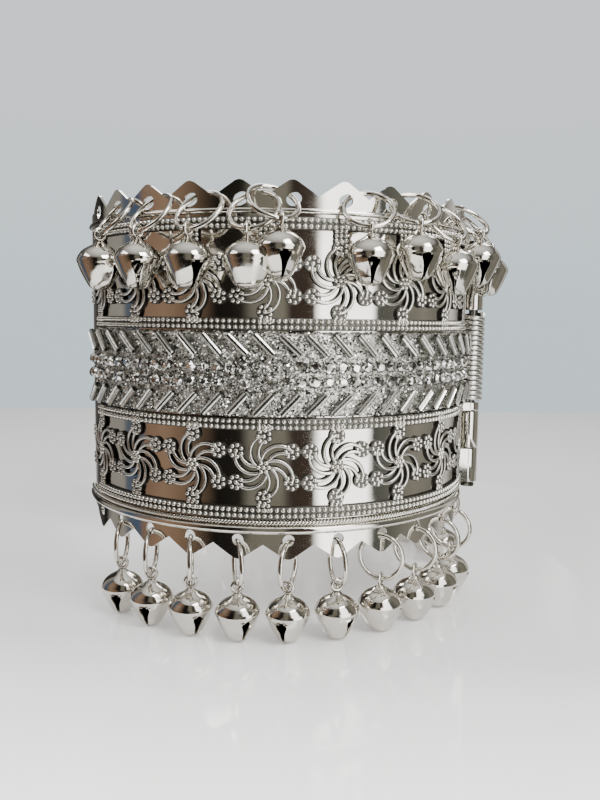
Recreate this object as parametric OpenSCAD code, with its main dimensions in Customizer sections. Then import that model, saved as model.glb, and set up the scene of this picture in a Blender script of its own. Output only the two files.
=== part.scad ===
// Bell bangle: a wide sheet metal cuff in two shells on a sprung hinge, with a gap opposite it.
// Each shell carries a beaded middle band between two pierced filigree strips,
// and a bell on a jump ring hangs at the teeth of its zigzag edges, but for the first tooth.
// The axis of the cuff is Z, the hinge is at +X, and the front half is at -Y.
// Places on a shell are given as s, the distance along the arc from the point at -Y
// towards the hinge, and z, the height above the middle of the cuff.

/* [Cuff] */
// Outer radius of the sheet
cuff_r = 33; // [32:0.5:35]
// Thickness of the sheet
sheet_t = 0.4; // [0.3:0.05:0.45]
// Height of the valleys of the zigzag edges, above and below the middle
valley_z = 24.7; // [24.4:0.1:25]
// Gap between the two shells at the hinge
shell_gap = 0.3; // [0.2:0.1:0.6]
// Angle of the gap at the open end, seen from the cuff's axis
open_angle = 43.6; // [42:0.2:45]

/* [Zigzag edge] */
// Teeth on each edge of a shell, the first one without a bell
teeth = 11; // [9:1:11]
// Distance from tooth to tooth
tooth_pitch = 7.5; // [7.4:0.05:7.6]
// Height of a tooth
tooth_h = 2.5; // [2.2:0.1:2.8]
// Rounding of a tooth's point
tooth_round = 0.8; // [0.4:0.1:1]
// Place of the first tooth along the arc
first_tooth = -31.4; // [-31.6:0.1:-31.2]
// Radius of the holes in the upper teeth
upper_hole_r = 1.15; // [1.15:0.05:1.25]
// Radius of the holes in the lower teeth
lower_hole_r = 1; // [0.95:0.05:1.1]

/* [Lips] */
// Height of the rolled lip below the middle
lip_z = 22.65; // [22.5:0.05:22.8]
// Radius of the rolled lip
lip_r = 0.6; // [0.5:0.05:0.65]
// Height of the rib above the middle
rib_z = 22.85; // [22.7:0.05:23]
// Radius of the rib
rib_r = 0.4; // [0.3:0.05:0.45]
// Height of the rope row below the middle
rope_z = 21.55; // [21.5:0.05:21.6]
// Radius of the rope row
rope_r = 0.35; // [0.25:0.05:0.35]

/* [Filigree] */
// Rosettes in each strip
rosettes = 8; // [5:1:8]
// Distance from rosette to rosette
rosette_pitch = 10.6; // [10.5:0.05:10.7]
// Place of the first rosette along the arc
first_rosette = -29.4; // [-29.5:0.1:-29.2]
// Height of the rosettes' hubs from the middle
hub_z = 13.35; // [13.2:0.05:13.5]
// Thickness of a strip
strip_t = 0.4; // [0.3:0.05:0.4]
// How far the hubs and discs stand above a strip
relief_t = 0.2; // [0.1:0.05:0.25]
// Radius of a hub
hub_r = 1.05; // [0.9:0.05:1.2]
// Radius of a granulated disc
disc_r = 1.3; // [1.25:0.05:1.35]
// Distance of the top and bottom disc from the hub
disc_reach = 5; // [4.9:0.05:5.1]
// Width of an arm
arm_w = 0.95; // [0.8:0.05:1.1]
// Radius that an arm curves with
arm_curve_r = 3; // [2.8:0.1:3.4]

/* [Middle band] */
// Half of the height of the glitter band
band_half_h = 6; // [5.9:0.05:6.05]
// Thickness of the glitter band
band_t = 0.7; // [0.5:0.1:0.8]
// Distance between the two stone rows
stone_row_gap = 2.2; // [2.1:0.05:2.3]
// Width of a stone
stone_w = 1.9; // [1.8:0.05:1.95]
// Height of a stone
stone_h = 1.1; // [0.9:0.1:1.3]

/* [Bugle beads] */
// Beads in each slanted row of a shell
bugles = 22; // [15:1:22]
// Distance from bead to bead
bugle_pitch = 3.62; // [3.5:0.02:3.62]
// Length of a bead
bugle_len = 4; // [3.6:0.1:4.1]
// Radius of a bead
bugle_r = 0.55; // [0.45:0.05:0.6]
// Slant of the beads
bugle_slant = 45; // [40:1:48]

/* [Bells and rings] */
// Radius of the middle line of a jump ring
ring_r = 3.39; // [3.35:0.01:3.42]
// Radius of a jump ring's wire
wire_r = 0.36; // [0.32:0.01:0.36]
// Radius of a bell at its waist
bell_r = 3.4; // [3.2:0.05:3.45]
// Wall of a bell
bell_wall = 0.4; // [0.3:0.05:0.5]
// Height from the middle of a bell's loop down to its waist
waist_drop = 3.8; // [3.7:0.1:4]
// Height of the cone below the waist
cone_h = 4.3; // [4:0.1:4.6]
// Width of the slot at its wide end
slot_w = 1.2; // [0.8:0.1:1.4]
// Lean of the upper rings out from the sheet
upper_lean = 46; // [45.5:0.5:47]
// Swing of the upper bells out from upright
upper_swing = 12.5; // [12:0.5:14]

/* [Hinge] */
// Distance of the pin from the cuff's axis
hinge_x = 35.3; // [35.3:0.05:35.5]
// Radius of the pin
pin_r = 0.8; // [0.7:0.05:0.9]
// Clearance round the pin
pin_clear = 0.05; // [0.03:0.01:0.08]
// Radius of the knuckles
knuckle_r = 1.6; // [1.5:0.05:1.7]
// Radius of the spring's wire
spring_wire_r = 0.42; // [0.38:0.01:0.45]
// Outer radius of the spring
spring_r = 2.1; // [2:0.05:2.1]
// Turns of the spring
spring_turns = 17; // [15:1:18]

/* [Hidden] */
$fn = 48;
fine = 0.01;                        // overlap that joins two solids
piece_gap = 0.05;                   // gap between pieces laid on each other
end_s = cuff_r * PI / 2 - shell_gap / 2;
open_s = -cuff_r * PI / 2 * (1 - open_angle / 180);
tip_z = valley_z + tooth_h;
mid_r = cuff_r - sheet_t / 2;       // middle of the sheet
upper_hole_z = valley_z - 0.3;
upper_hole_stretch = [0.4, 0.2];    // worn long towards the ring, along the arc and up
lower_hole_z = valley_z - 0.4;
valley_foot = [0.5, 0.12];          // half width and rise of a valley's blunt foot
plain_rise = 0.05;                  // how far the plain ends of an edge stand above its valleys
cut_in = 2;                         // how far the edge cuts reach inwards
cut_out = 1;                        // how far the edge cuts reach outwards

strip_r = cuff_r + piece_gap;       // back of the filigree strips
strip_low_z = 6.25;                 // inner edge of both strips
upper_strip_z = 22.05;              // outer edge of the upper strip
lower_strip_z = 20.95;              // outer edge of the lower strip
strip_from = -30.8;
strip_to = 49.9;
border_w = 1.75;                    // height of a beaded border
bead_row_r = 0.42;
bead_row_inset = [0.45, 1.3];       // the two bead rows, from the strip's edge

band_r = cuff_r + piece_gap;        // back of the glitter band
band_face_r = band_r + band_t;
band_from = -32.5;
band_to = 49.2;
bugle_z = 4.2;                      // height of the slanted rows
bugle_from = -30.2;
on_band = 0.1;                      // gap under the beads and the stones

web_y = 1.8;                        // how far a knuckle's web reaches along the shell
// The web's corners: off the knuckle, down into the wall of the shell and back to the knuckle.
web = [
    [hinge_x - 0.1, -knuckle_r + 0.02], [cuff_r + 0.3, -web_y],
    [cuff_r - 0.4, -web_y], [cuff_r - 0.25, -0.3], [hinge_x - 0.6, -0.3]
];
front_knuckles = [[-21.2, -15.1], [-8.1, -6.7], [16.2, 21.2]];
back_knuckles = [[-14.9, -8.3], [9.9, 16]];
spring_low = -6.4;
spring_high = 9.6;
spring_groove = 0.1;                // how far the grooves between its turns are filled
pin_half = 21.6;
pin_head_r = 1.2;
pin_head_h = 0.5;

// Rings of the upper edge: each enters its hole and crosses the edge beyond the next valley.
ring_entry = upper_hole_stretch / 2;
cross = [5.2, 1.8];                 // the crossing, from the entry, along the arc and up
cross_half = norm(cross) / 2;
cross_rise = atan2(cross[1], cross[0]);
ring_off = sqrt(ring_r * ring_r - cross_half * cross_half);
ring_u = [cos(cross_rise), 0, sin(cross_rise)];
ring_v = [
    sin(cross_rise) * cos(upper_lean),
    -sin(upper_lean),
    -cos(cross_rise) * cos(upper_lean)
];
ring_mid = [ring_entry[0] + cross[0] / 2, 0, ring_entry[1] + cross[1] / 2];
ring_fall = norm([ring_u[2], ring_v[2]]);
upper_hang = ring_mid + ring_off * ring_v
    - ring_r * (ring_u[2] * ring_u + ring_v[2] * ring_v) / ring_fall;
ring_level = (ring_v[2] * ring_u - ring_u[2] * ring_v) / ring_fall;
upper_turn = atan2(-ring_level[0], ring_level[1]);

// Rings of the lower edge: each hangs in its hole, turned a little from square.
hole_rest = 0.3;                    // how far a ring stays off the foot of its hole
lower_ring_z = -lower_hole_z - (lower_hole_r - wire_r - hole_rest) - ring_r;
// turn of the ring, turn of the bell's slot from the ring
lower_turns = [
    [-8, 30], [4, 80], [-6, 25], [10, 75], [24, 60],
    [26, 20], [8, 95], [-12, 60], [6, 30], [-8, 70]
];
// turn of the bell's slot from the ring
upper_slots = [30, -35, -30, 10, 80, 90, 95, 40, 60, 20];

loop_r = 0.82;                      // middle line of a bell's loop
loop_wire_r = 0.28;

SHELLS = ["front_shell", "back_shell"];
TRIM = [
    "front_upper_filigree", "front_lower_filigree", "back_upper_filigree",
    "back_lower_filigree", "front_middle_band", "back_middle_band",
    "front_stone_rows", "back_stone_rows", "front_bugle_beads", "back_bugle_beads"
];
HINGE = ["hinge_pin", "hinge_spring"];
HANGING = ["front_upper_drops", "back_upper_drops"];
function drop_name(side, k) = str(side, "_lower_drop_", k < 9 ? "0" : "", k + 1);
bells = teeth - 1;
LOWER = [for (side = ["front", "back"]) for (k = [0:bells - 1]) drop_name(side, k)];

function arc(s) = s / cuff_r * 180 / PI;
function tooth_s(k) = first_tooth + k * tooth_pitch;
function rosette_s(k) = first_rosette + k * rosette_pitch;

// A profile in r and z, swept along the front shell from one place to another.
module sweep(from, to)
    rotate([0, 0, arc(from) - 90])
        rotate_extrude(angle = arc(to) - arc(from), $fn = 180) children();

// A part placed on the front shell: X runs along the arc, Y points inwards.
module place(s, r, z)
    rotate([0, 0, arc(s)]) translate([0, -r, z]) children();

// An outline in s and z, pushed outwards through the wall.
module stamp(s, z, from_r, to_r)
    place(s, from_r, z) rotate([90, 0, 0]) linear_extrude(to_r - from_r) children();

module on_back() mirror([0, 1, 0]) children();

// The sheet of a shell

// Outline of what is cut away between the points of two teeth.
module valley_outline() {
    half = tooth_pitch / 2;
    flank = atan2(tooth_h, half);
    top = tooth_h - 0.05;
    point = [for (a = [0:0.25:1])
        [half - tooth_round * sin(flank * a), top - tooth_round * (1 - cos(flank * a))]];
    left = [for (p = point) [-p[0], p[1]]];
    inner = [for (i = [len(point) - 1:-1:0]) point[i]];
    foot = [[-valley_foot[0], valley_foot[1]], [0, 0], valley_foot];
    polygon(concat([[-half, tooth_h + 1]], left, foot, inner, [[half, tooth_h + 1]]));
}

// The edge is plain before the first tooth's valley and after the last one's.
module edge_cuts(hole_z, hole_r, stretch) {
    for (k = [0:teeth])
        stamp(tooth_s(k - 0.5), valley_z, cuff_r - cut_in, cuff_r + cut_out) valley_outline();
    for (span = [[open_s - 1, tooth_s(-0.5)], [tooth_s(teeth - 0.5), end_s + 1]])
        sweep(span[0], span[1]) translate([cuff_r - cut_in, valley_z + plain_rise])
            square([cut_in + cut_out, tooth_h + 1]);
    for (k = [0:teeth - 1]) for (part = norm(stretch) > 0 ? [0, 0.5, 1] : [0])
        place(tooth_s(k), cuff_r + cut_out, hole_z)
            translate([part * stretch[0], 0, part * stretch[1]])
                rotate([-90, 0, 0]) cylinder(h = cut_in + cut_out, r = hole_r);
}

module shell_sheet() {
    difference() {
        sweep(open_s, end_s)
            translate([cuff_r - sheet_t, -tip_z + 0.05]) square([sheet_t, 2 * tip_z - 0.1]);
        edge_cuts(upper_hole_z, upper_hole_r, upper_hole_stretch);
        mirror([0, 0, 1]) edge_cuts(lower_hole_z, lower_hole_r, [0, 0]);
    }
}

module shell_lips() {
    sweep(open_s, end_s) translate([cuff_r + 0.25, -lip_z]) circle(lip_r);
    sweep(open_s, end_s) translate([cuff_r + 0.1, rib_z]) circle(rib_r);
    sweep(open_s, end_s) translate([cuff_r + 0.15, -rope_z]) circle(rope_r);
}

// One knuckle with its web, which runs tangent to the front shell.
module knuckle(span) {
    height = span[1] - span[0];
    translate([0, 0, span[0]]) {
        translate([hinge_x, 0, 0]) cylinder(h = height, r = knuckle_r);
        linear_extrude(height) polygon(web);
    }
}

module knuckles(spans) {
    difference() {
        for (span = spans) knuckle(span);
        translate([hinge_x, 0, -pin_half - 1])
            cylinder(h = 2 * pin_half + 2, r = pin_r + pin_clear);
        cylinder(h = 3 * pin_half, r = cuff_r - sheet_t / 2, center = true, $fn = 180);
    }
}

module shell(spans) {
    shell_sheet();
    shell_lips();
    knuckles(spans);
}

module front_shell() color("silver") shell(front_knuckles);
module back_shell() color("silver") on_back() shell(back_knuckles);

// The filigree strips

// One arm, a flat wire curving from the hub to a disc.
module arm(reach, depth) {
    half_turn = asin(reach / 2 / arm_curve_r);
    dip = arm_curve_r * cos(half_turn);
    translate([reach / 2, -dip, 0]) rotate([0, 0, 90 - half_turn])
        rotate_extrude(angle = 2 * half_turn)
            translate([arm_curve_r - arm_w / 2, 0]) square([arm_w, depth]);
}

// The rosette's own parts stand in XY and are pushed along Z.
module whirl_arms(depth) {
    for (k = [0:5]) rotate([0, 0, 90 + 60 * k]) arm(disc_reach - 0.5, depth);
}

module whirl_discs(depth) {
    cylinder(h = depth, r = hub_r);
    for (side = [-1, 1]) {
        translate([0, side * disc_reach, 0]) cylinder(h = depth, r = disc_r);
        for (up = [-1, 1])
            translate([side * (rosette_pitch / 2 - disc_r + 0.1), up * 2.45, 0])
                cylinder(h = depth, r = disc_r);
    }
}

module whirl_necks(top, bottom, depth) {
    translate([-0.45, disc_reach, 0]) cube([0.9, top - disc_reach, depth]);
    translate([-0.45, -bottom, 0]) cube([0.9, bottom - disc_reach, depth]);
}

module in_strip(thick)
    intersection() {
        sweep(strip_from, strip_to)
            translate([strip_r, strip_low_z]) square([thick, upper_strip_z - strip_low_z]);
        children();
    }

module each_rosette()
    for (k = [0:rosettes - 1])
        place(rosette_s(k), cuff_r - 0.5, hub_z) rotate([90, 0, 0]) children();

module border(z_low, z_high)
    sweep(strip_from, strip_to) translate([strip_r, z_low]) square([strip_t, z_high - z_low]);

module bead_row(z)
    sweep(strip_from, strip_to) translate([strip_r + bead_row_r, z]) circle(bead_row_r);

// A strip that reaches from its inner edge up to high_z. With flip its arms whirl the other way,
// so that a strip that is then turned upside down whirls as the upright one does.
module filigree(high_z, flip) {
    depth = 2;
    border(strip_low_z, strip_low_z + border_w);
    border(high_z - border_w, high_z);
    for (inset = bead_row_inset) {
        bead_row(strip_low_z + inset);
        bead_row(high_z - inset);
    }
    sweep(strip_from, strip_from + 0.9)
        translate([strip_r, strip_low_z]) square([strip_t, high_z - strip_low_z]);
    in_strip(strip_t) each_rosette() {
        mirror([flip, 0, 0]) whirl_arms(depth);
        whirl_necks(high_z - hub_z - border_w / 2, hub_z - strip_low_z - border_w / 2, depth);
    }
    in_strip(strip_t + relief_t) each_rosette() whirl_discs(depth);
}

module upper_filigree() filigree(upper_strip_z, 0);
module lower_filigree() mirror([0, 0, 1]) filigree(lower_strip_z, 1);

module front_upper_filigree() color("gainsboro") upper_filigree();
module front_lower_filigree() color("gainsboro") lower_filigree();
module back_upper_filigree() color("gainsboro") on_back() upper_filigree();
module back_lower_filigree() color("gainsboro") on_back() lower_filigree();

// The middle band

module middle_band()
    sweep(band_from, band_to)
        translate([band_r, -band_half_h]) square([band_t, 2 * band_half_h]);

// Outline of a row of cut stones: a girdle, a bevel and a table.
module stone_outline() {
    table = stone_w * 0.28;
    polygon([
        [0, -stone_w / 2], [stone_h * 0.6, -stone_w / 2], [stone_h, -table],
        [stone_h, table], [stone_h * 0.6, stone_w / 2], [0, stone_w / 2]
    ]);
}

module stone_rows()
    for (side = [-1, 1])
        sweep(band_from, band_to)
            translate([band_face_r + on_band, side * stone_row_gap / 2]) stone_outline();

module bugle_row(side)
    for (k = [0:bugles - 1])
        place(bugle_from + k * bugle_pitch, band_face_r + on_band + bugle_r, side * bugle_z)
            rotate([0, -side * bugle_slant, 0])
                cylinder(h = bugle_len, r = bugle_r, center = true, $fn = 24);

module bugle_beads()
    for (side = [-1, 1]) bugle_row(side);

module front_middle_band() color("lightgray") middle_band();
module back_middle_band() color("lightgray") on_back() middle_band();
module front_stone_rows() color("white") stone_rows();
module back_stone_rows() color("white") on_back() stone_rows();
module front_bugle_beads() color("azure") bugle_beads();
module back_bugle_beads() color("azure") on_back() bugle_beads();

// The hinge

module hinge_pin() {
    color("darkgray") translate([hinge_x, 0, 0]) {
        cylinder(h = 2 * pin_half, r = pin_r, center = true);
        for (side = [0, 1]) mirror([0, 0, side])
            translate([0, 0, pin_half - fine]) cylinder(h = pin_head_h, r = pin_head_r);
    }
}

// The spring's turns are rings that touch, so their outline is one turned profile.
module hinge_spring() {
    turn_h = (spring_high - spring_low) / spring_turns;
    coil_r = spring_r - spring_wire_r;
    outside = [for (k = [0:spring_turns - 1]) for (a = [-90:30:90])
        [coil_r + spring_wire_r * cos(a) + spring_groove * (1 - cos(a)),
            spring_low + turn_h * (k + 0.5 + 0.49 * sin(a))]];
    inner_r = coil_r - spring_wire_r;
    color("silver") translate([hinge_x, 0, 0]) rotate_extrude()
        polygon(concat([[inner_r, spring_low]], outside, [[inner_r, spring_high]]));
}

// Bells and rings

module jump_ring() rotate_extrude() translate([ring_r, 0]) circle(wire_r, $fn = 20);

// The bell hangs from the origin, the middle of its loop, whose hole runs along Y.
module bell(slot_turn) {
    low = -waist_drop - cone_h;
    outside = [
        [0.5, -0.95], [0.75, -1.45], [bell_r * 0.45, -waist_drop + 1.75],
        [bell_r * 0.75, -waist_drop + 1.2], [bell_r * 0.93, -waist_drop + 0.65],
        [bell_r, -waist_drop + 0.15], [bell_r, -waist_drop - 0.15],
        [bell_r * 0.5, low + 0.6], [bell_r * 0.36, low + 0.16], [bell_r * 0.18, low]
    ];
    roof = -waist_drop + 1.5;
    inside = [
        [0, low + bell_wall], [bell_r * 0.3, low + bell_wall + 0.1],
        [bell_r * 0.42, low + 0.85], [bell_r - bell_wall, -waist_drop - 0.1],
        [bell_r - bell_wall, -waist_drop + 0.1], [bell_r * 0.66, -waist_drop + 0.85],
        [bell_r * 0.4, roof - 0.15], [0, roof]
    ];
    difference() {
        rotate_extrude() polygon(concat([[0, -0.95]], outside, [[0, low]], inside));
        rotate([0, 0, slot_turn]) rotate([90, 0, 0])
            linear_extrude(3 * bell_r, center = true) polygon([
                [-slot_w / 2, -waist_drop - 0.5], [slot_w / 2, -waist_drop - 0.5],
                [slot_w / 5, low - 1], [-slot_w / 5, low - 1]
            ]);
    }
    rotate([90, 0, 0])
        rotate_extrude() translate([loop_r, 0]) circle(loop_wire_r, $fn = 16);
}

// Drop k hangs from tooth k + 1. The first angle turns its ring from square to the sheet, and
// the second one turns the slot.
module lower_drop(k) {
    place(tooth_s(k + 1), mid_r, lower_ring_z) rotate([0, 0, lower_turns[k][0]]) {
        rotate([0, 90, 0]) jump_ring();
        translate([0, 0, -ring_r]) bell(lower_turns[k][1]);
    }
}

module upper_drop(k)
    place(tooth_s(k + 1), mid_r, upper_hole_z) {
        translate(ring_mid) rotate([0, -cross_rise, 0]) rotate([-upper_lean, 0, 0])
            translate([0, 0, -ring_off]) rotate([90, 0, 0]) jump_ring();
        translate(upper_hang) rotate([0, 0, upper_turn]) rotate([0, upper_swing, 0])
            bell(upper_slots[k]);
    }

module upper_drops() for (k = [0:bells - 1]) upper_drop(k);

module front_upper_drops() color("silver") upper_drops();
module back_upper_drops() color("silver") on_back() upper_drops();

front_shell();
back_shell();
front_upper_filigree();
front_lower_filigree();
back_upper_filigree();
back_lower_filigree();
front_middle_band();
back_middle_band();
front_stone_rows();
back_stone_rows();
front_bugle_beads();
back_bugle_beads();
hinge_pin();
hinge_spring();
front_upper_drops();
back_upper_drops();
for (k = [0:bells - 1]) {
    color("silver") lower_drop(k);
    color("silver") on_back() lower_drop(k);
}
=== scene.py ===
# %% [markdown]
# # A bell bangle
#
# The real thing is a wide cuff of thin polished sheet in two shells, joined by a sprung
# hinge and open opposite it. A glittering band of bugle beads and rhinestones runs round its
# middle, a pierced strip of whirl rosettes is laid above and below it, and a bell on a jump
# ring hangs from the teeth of both zigzag edges, all but the one at the open end.
#
# Nearly all of it is laid out flat and then bent round, as a maker does, so most trees below
# end in the same bend. The front half is made first and the back half is its mirror image.

# %% Load the frame
import math

import bmesh
import bpy
from mathutils import Matrix, Vector, noise


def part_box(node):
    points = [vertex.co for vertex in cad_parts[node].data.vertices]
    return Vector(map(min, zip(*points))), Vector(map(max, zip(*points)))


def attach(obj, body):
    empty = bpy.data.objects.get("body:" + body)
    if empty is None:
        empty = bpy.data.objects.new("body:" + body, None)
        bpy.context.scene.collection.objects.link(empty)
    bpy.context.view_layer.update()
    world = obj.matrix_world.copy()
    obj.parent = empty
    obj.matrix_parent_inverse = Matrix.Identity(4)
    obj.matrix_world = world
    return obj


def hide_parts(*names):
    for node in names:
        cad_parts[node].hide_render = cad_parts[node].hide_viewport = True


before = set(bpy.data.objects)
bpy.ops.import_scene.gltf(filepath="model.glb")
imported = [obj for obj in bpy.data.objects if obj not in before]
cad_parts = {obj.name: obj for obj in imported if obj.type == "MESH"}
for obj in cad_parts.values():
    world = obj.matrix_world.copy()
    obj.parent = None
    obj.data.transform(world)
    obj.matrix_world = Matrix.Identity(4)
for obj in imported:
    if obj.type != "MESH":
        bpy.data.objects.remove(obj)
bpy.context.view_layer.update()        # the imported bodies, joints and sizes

MM = 0.001
FRONT = "front_half"
BACK = "back_half"

# %% [markdown]
# ## Sizes
#
# The driving sizes repeat the ones that the cuff was built from, in millimetres. A place on a
# shell is s, the distance along the arc from the point at -Y towards the hinge, how far it
# stands out from the sheet's face, and z, the height from the middle of the cuff.

# %% Sizes
CUFF_R = 33.0
SHEET_T = 0.4
END_S = CUFF_R * math.pi / 2 - 0.15
OPEN_ANGLE = 43.6
OPEN_S = -CUFF_R * math.pi / 2 * (1 - OPEN_ANGLE / 180)
MID_R = CUFF_R - SHEET_T / 2
VALLEY_Z = 24.7
TOOTH_H = 2.5
TEETH = 11
BELLS = TEETH - 1
TOOTH_PITCH = 7.5
FIRST_TOOTH = -31.4

STRIP_FROM, STRIP_TO = -30.8, 49.9
STRIP_LOW_Z = 6.25
UPPER_STRIP_Z = 22.05
LOWER_STRIP_Z = 20.95
ROSETTES = 8
ROSETTE_PITCH = 10.6
FIRST_ROSETTE = -29.4
HUB_Z = 13.35

BAND_FROM, BAND_TO = -32.5, 49.2
BAND_OUT = 0.05
BAND_T = 0.7
BAND_HALF_H = 6.0

HINGE_X = 35.3


def tooth_s(k):
    return FIRST_TOOTH + k * TOOTH_PITCH


def bent(s, out, z):
    """The place on the front shell, in metres."""
    angle = s / CUFF_R
    r = CUFF_R + out
    return Vector((r * math.sin(angle), -r * math.cos(angle), z)) * MM


print("teeth from", tooth_s(0), "to", tooth_s(TEETH - 1), "mm along the arc")

# %% [markdown]
# ## The camera
#
# The photographer stood close: the far end of the shell is plainly smaller than the near one.
# So the camera is 14 cm away with a short lens, a little above the middle of the cuff, and it
# is aimed by a few small turns, as a hand-held one is.

# %% Camera
CAMERA_DISTANCE = 139.9 * MM
CAMERA_AZIMUTH = math.radians(7.5)
CAMERA_ELEVATION = math.radians(3.25)
AIM_SIDEWAYS = 0.0295
AIM_UPWARDS = -0.051
CAMERA_ROLL = math.radians(0.67)
FOCAL_PIXELS = 751
IMAGE_HEIGHT = 800


def make_camera():
    back = Vector((
        math.sin(CAMERA_AZIMUTH) * math.cos(CAMERA_ELEVATION),
        -math.cos(CAMERA_AZIMUTH) * math.cos(CAMERA_ELEVATION),
        math.sin(CAMERA_ELEVATION),
    ))
    right = (-back).cross(Vector((0, 0, 1))).normalized()
    up = right.cross(-back)
    ahead = (-back + AIM_SIDEWAYS * right + AIM_UPWARDS * up).normalized()
    right = ahead.cross(up).normalized()
    up = right.cross(ahead)
    turned_right = right * math.cos(CAMERA_ROLL) + up * math.sin(CAMERA_ROLL)
    turned_up = up * math.cos(CAMERA_ROLL) - right * math.sin(CAMERA_ROLL)
    data = bpy.data.cameras.new("photo_camera")
    data.sensor_width = 36
    data.lens = data.sensor_width * FOCAL_PIXELS / IMAGE_HEIGHT
    data.clip_start = 0.005
    camera = bpy.data.objects.new("photo_camera", data)
    axes = Matrix((turned_right, turned_up, -ahead)).transposed().to_4x4()
    camera.matrix_world = Matrix.Translation(back * CAMERA_DISTANCE) @ axes
    bpy.context.scene.collection.objects.link(camera)
    bpy.context.scene.camera = camera
    return camera


camera = make_camera()
print("lens", round(camera.data.lens, 1), "mm")

# %% [markdown]
# ## Sums with nodes
#
# One method makes any node, be it of a material, of a shape or of the sky. What comes out of
# it can be counted with: the first class below wraps a socket, and each operator adds one
# Math node. Colours are mixed by Mix nodes, which keep them in colour.

# %% Values and graphs
class Value:
    """A socket with operators that add Math nodes."""

    def __init__(self, graph, socket):
        self.graph = graph
        self.socket = socket

    def math(self, operation, other=None, swap=False):
        first, second = (other, self) if swap else (self, other)
        inputs = {0: first}
        if other is not None:
            inputs[1] = second
        return self.graph.add("ShaderNodeMath", {"operation": operation}, inputs)

    def __add__(self, other):
        return self.math("ADD", other)

    def __radd__(self, other):
        return self.math("ADD", other, swap=True)

    def __sub__(self, other):
        return self.math("SUBTRACT", other)

    def __rsub__(self, other):
        return self.math("SUBTRACT", other, swap=True)

    def __mul__(self, other):
        return self.math("MULTIPLY", other)

    def __rmul__(self, other):
        return self.math("MULTIPLY", other, swap=True)

    def __truediv__(self, other):
        return self.math("DIVIDE", other)

    def __rtruediv__(self, other):
        return self.math("DIVIDE", other, swap=True)

    def __neg__(self):
        return self.math("MULTIPLY", -1.0)

    def between(self, low, high):
        """0 at low and before it, 1 at high and after it."""
        return self.graph.add("ShaderNodeMapRange", {"clamp": True}, {0: self, 1: low, 2: high})

    def within(self, start, end, fade):
        """1 from start to end and 0 outside, with a fade inside both."""
        return self.between(start, start + fade) * self.between(end, end - fade)


def set_stops(ramp, stops):
    """Gives a colour ramp its stops of (position, colour)."""
    for n, (position, colour) in enumerate(stops):
        stop = ramp.elements[n] if n < 2 else ramp.elements.new(position)
        stop.position = position
        stop.color = (*colour, 1)


class Graph:
    """A node tree, all of whose new nodes come from the method new."""

    def __init__(self, tree):
        self.tree = tree

    def put(self, socket, value):
        """Links a value to a socket, or each of a list, or else sets the socket."""
        if isinstance(value, list):
            for one in value:
                self.put(socket, one)
        elif isinstance(value, Value):
            self.tree.links.new(value.socket, socket)
        elif isinstance(value, tuple) and len(value) == 3 and socket.type == "RGBA":
            socket.default_value = (*value, 1)
        else:
            socket.default_value = value

    def new(self, kind, settings=None, inputs=None):
        """Any node. Its settings, among them a ramp's stops, are set before its inputs."""
        node = self.tree.nodes.new(kind)
        for name, value in (settings or {}).items():
            if name == "stops":
                set_stops(node.color_ramp, value)
            else:
                setattr(node, name, value)
        for name, value in (inputs or {}).items():
            self.put(node.inputs[name], value)
        return node

    def add(self, kind, settings=None, inputs=None, out=0):
        """A new node, given back as the value of one of its outputs."""
        return Value(self, self.new(kind, settings, inputs).outputs[out])

    def split(self, vector):
        node = self.new("ShaderNodeSeparateXYZ", None, {0: vector})
        return [Value(self, socket) for socket in node.outputs]


class Finish(Graph):
    """A material, and what finishes are made of."""

    def __init__(self, name, **constants):
        self.material = bpy.data.materials.new(name)
        self.material.use_nodes = True
        super().__init__(self.material.node_tree)
        self.shader = self.node("BSDF_PRINCIPLED")
        self.place = self.add("ShaderNodeTexCoord", out="Object")
        self.feed(**constants)

    def node(self, kind):
        return next(n for n in self.tree.nodes if n.type == kind)

    def feed(self, **sockets):
        """Sets the shader's own sockets: Base_Color=... and so on."""
        for name, value in sockets.items():
            self.put(self.shader.inputs[name.replace("_", " ")], value)

    def scaled(self, scale, turn=(0, 0, 0)):
        return self.add("ShaderNodeMapping", None,
                        {"Vector": self.place, "Scale": scale, "Rotation": turn})

    def noise(self, size, detail=2.0, where=None):
        """Cloudy noise whose lumps are about size metres wide."""
        inputs = {"Vector": where or self.place, "Scale": 1 / size, "Detail": detail}
        return self.add("ShaderNodeTexNoise", None, inputs)

    def mix(self, factor, low, high):
        inputs = {0: factor, 6: low, 7: high}
        return self.add("ShaderNodeMix", {"data_type": "RGBA"}, inputs, 2)

    def bump(self, height, depth, strength=1.0):
        inputs = {"Height": height, "Distance": depth, "Strength": strength}
        return self.add("ShaderNodeBump", None, inputs)

    def out_from_axis(self, x_mm=0):
        """Distance in millimetres from the cuff's axis, or from an upright line at x_mm."""
        x, y = self.split(self.place)[:2]
        x = x - x_mm * MM
        return (x * x + y * y).math("SQRT") / MM


print("values and materials ready")

# %% [markdown]
# ## Metal
#
# The sheet is plated iron with a mirror polish. A mirror has no colour of its own, so what
# makes it read as metal is small: faint waves left by rolling and bending, hairline
# scratches from wear, and the smudges that make one patch duller than the next.

# %% Metal finishes
def polished_sheet():
    f = Finish("polished_sheet", Metallic=1.0)
    waves = f.noise(9 * MM, 1.0)
    smudges = f.noise(5 * MM, 4.0)
    hairs = f.noise(1.0, 2.0, f.scaled((900, 900, 9000)))
    f.feed(
        Base_Color=f.mix(smudges.between(0.35, 0.75), (0.78, 0.755, 0.70), (0.66, 0.635, 0.58)),
        Roughness=0.045 + 0.10 * smudges.between(0.4, 0.8) + 0.05 * hairs.between(0.5, 0.8),
        Normal=f.bump(waves + 0.012 * hairs, 0.5 * MM, 0.35),
    )
    return f.material


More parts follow.
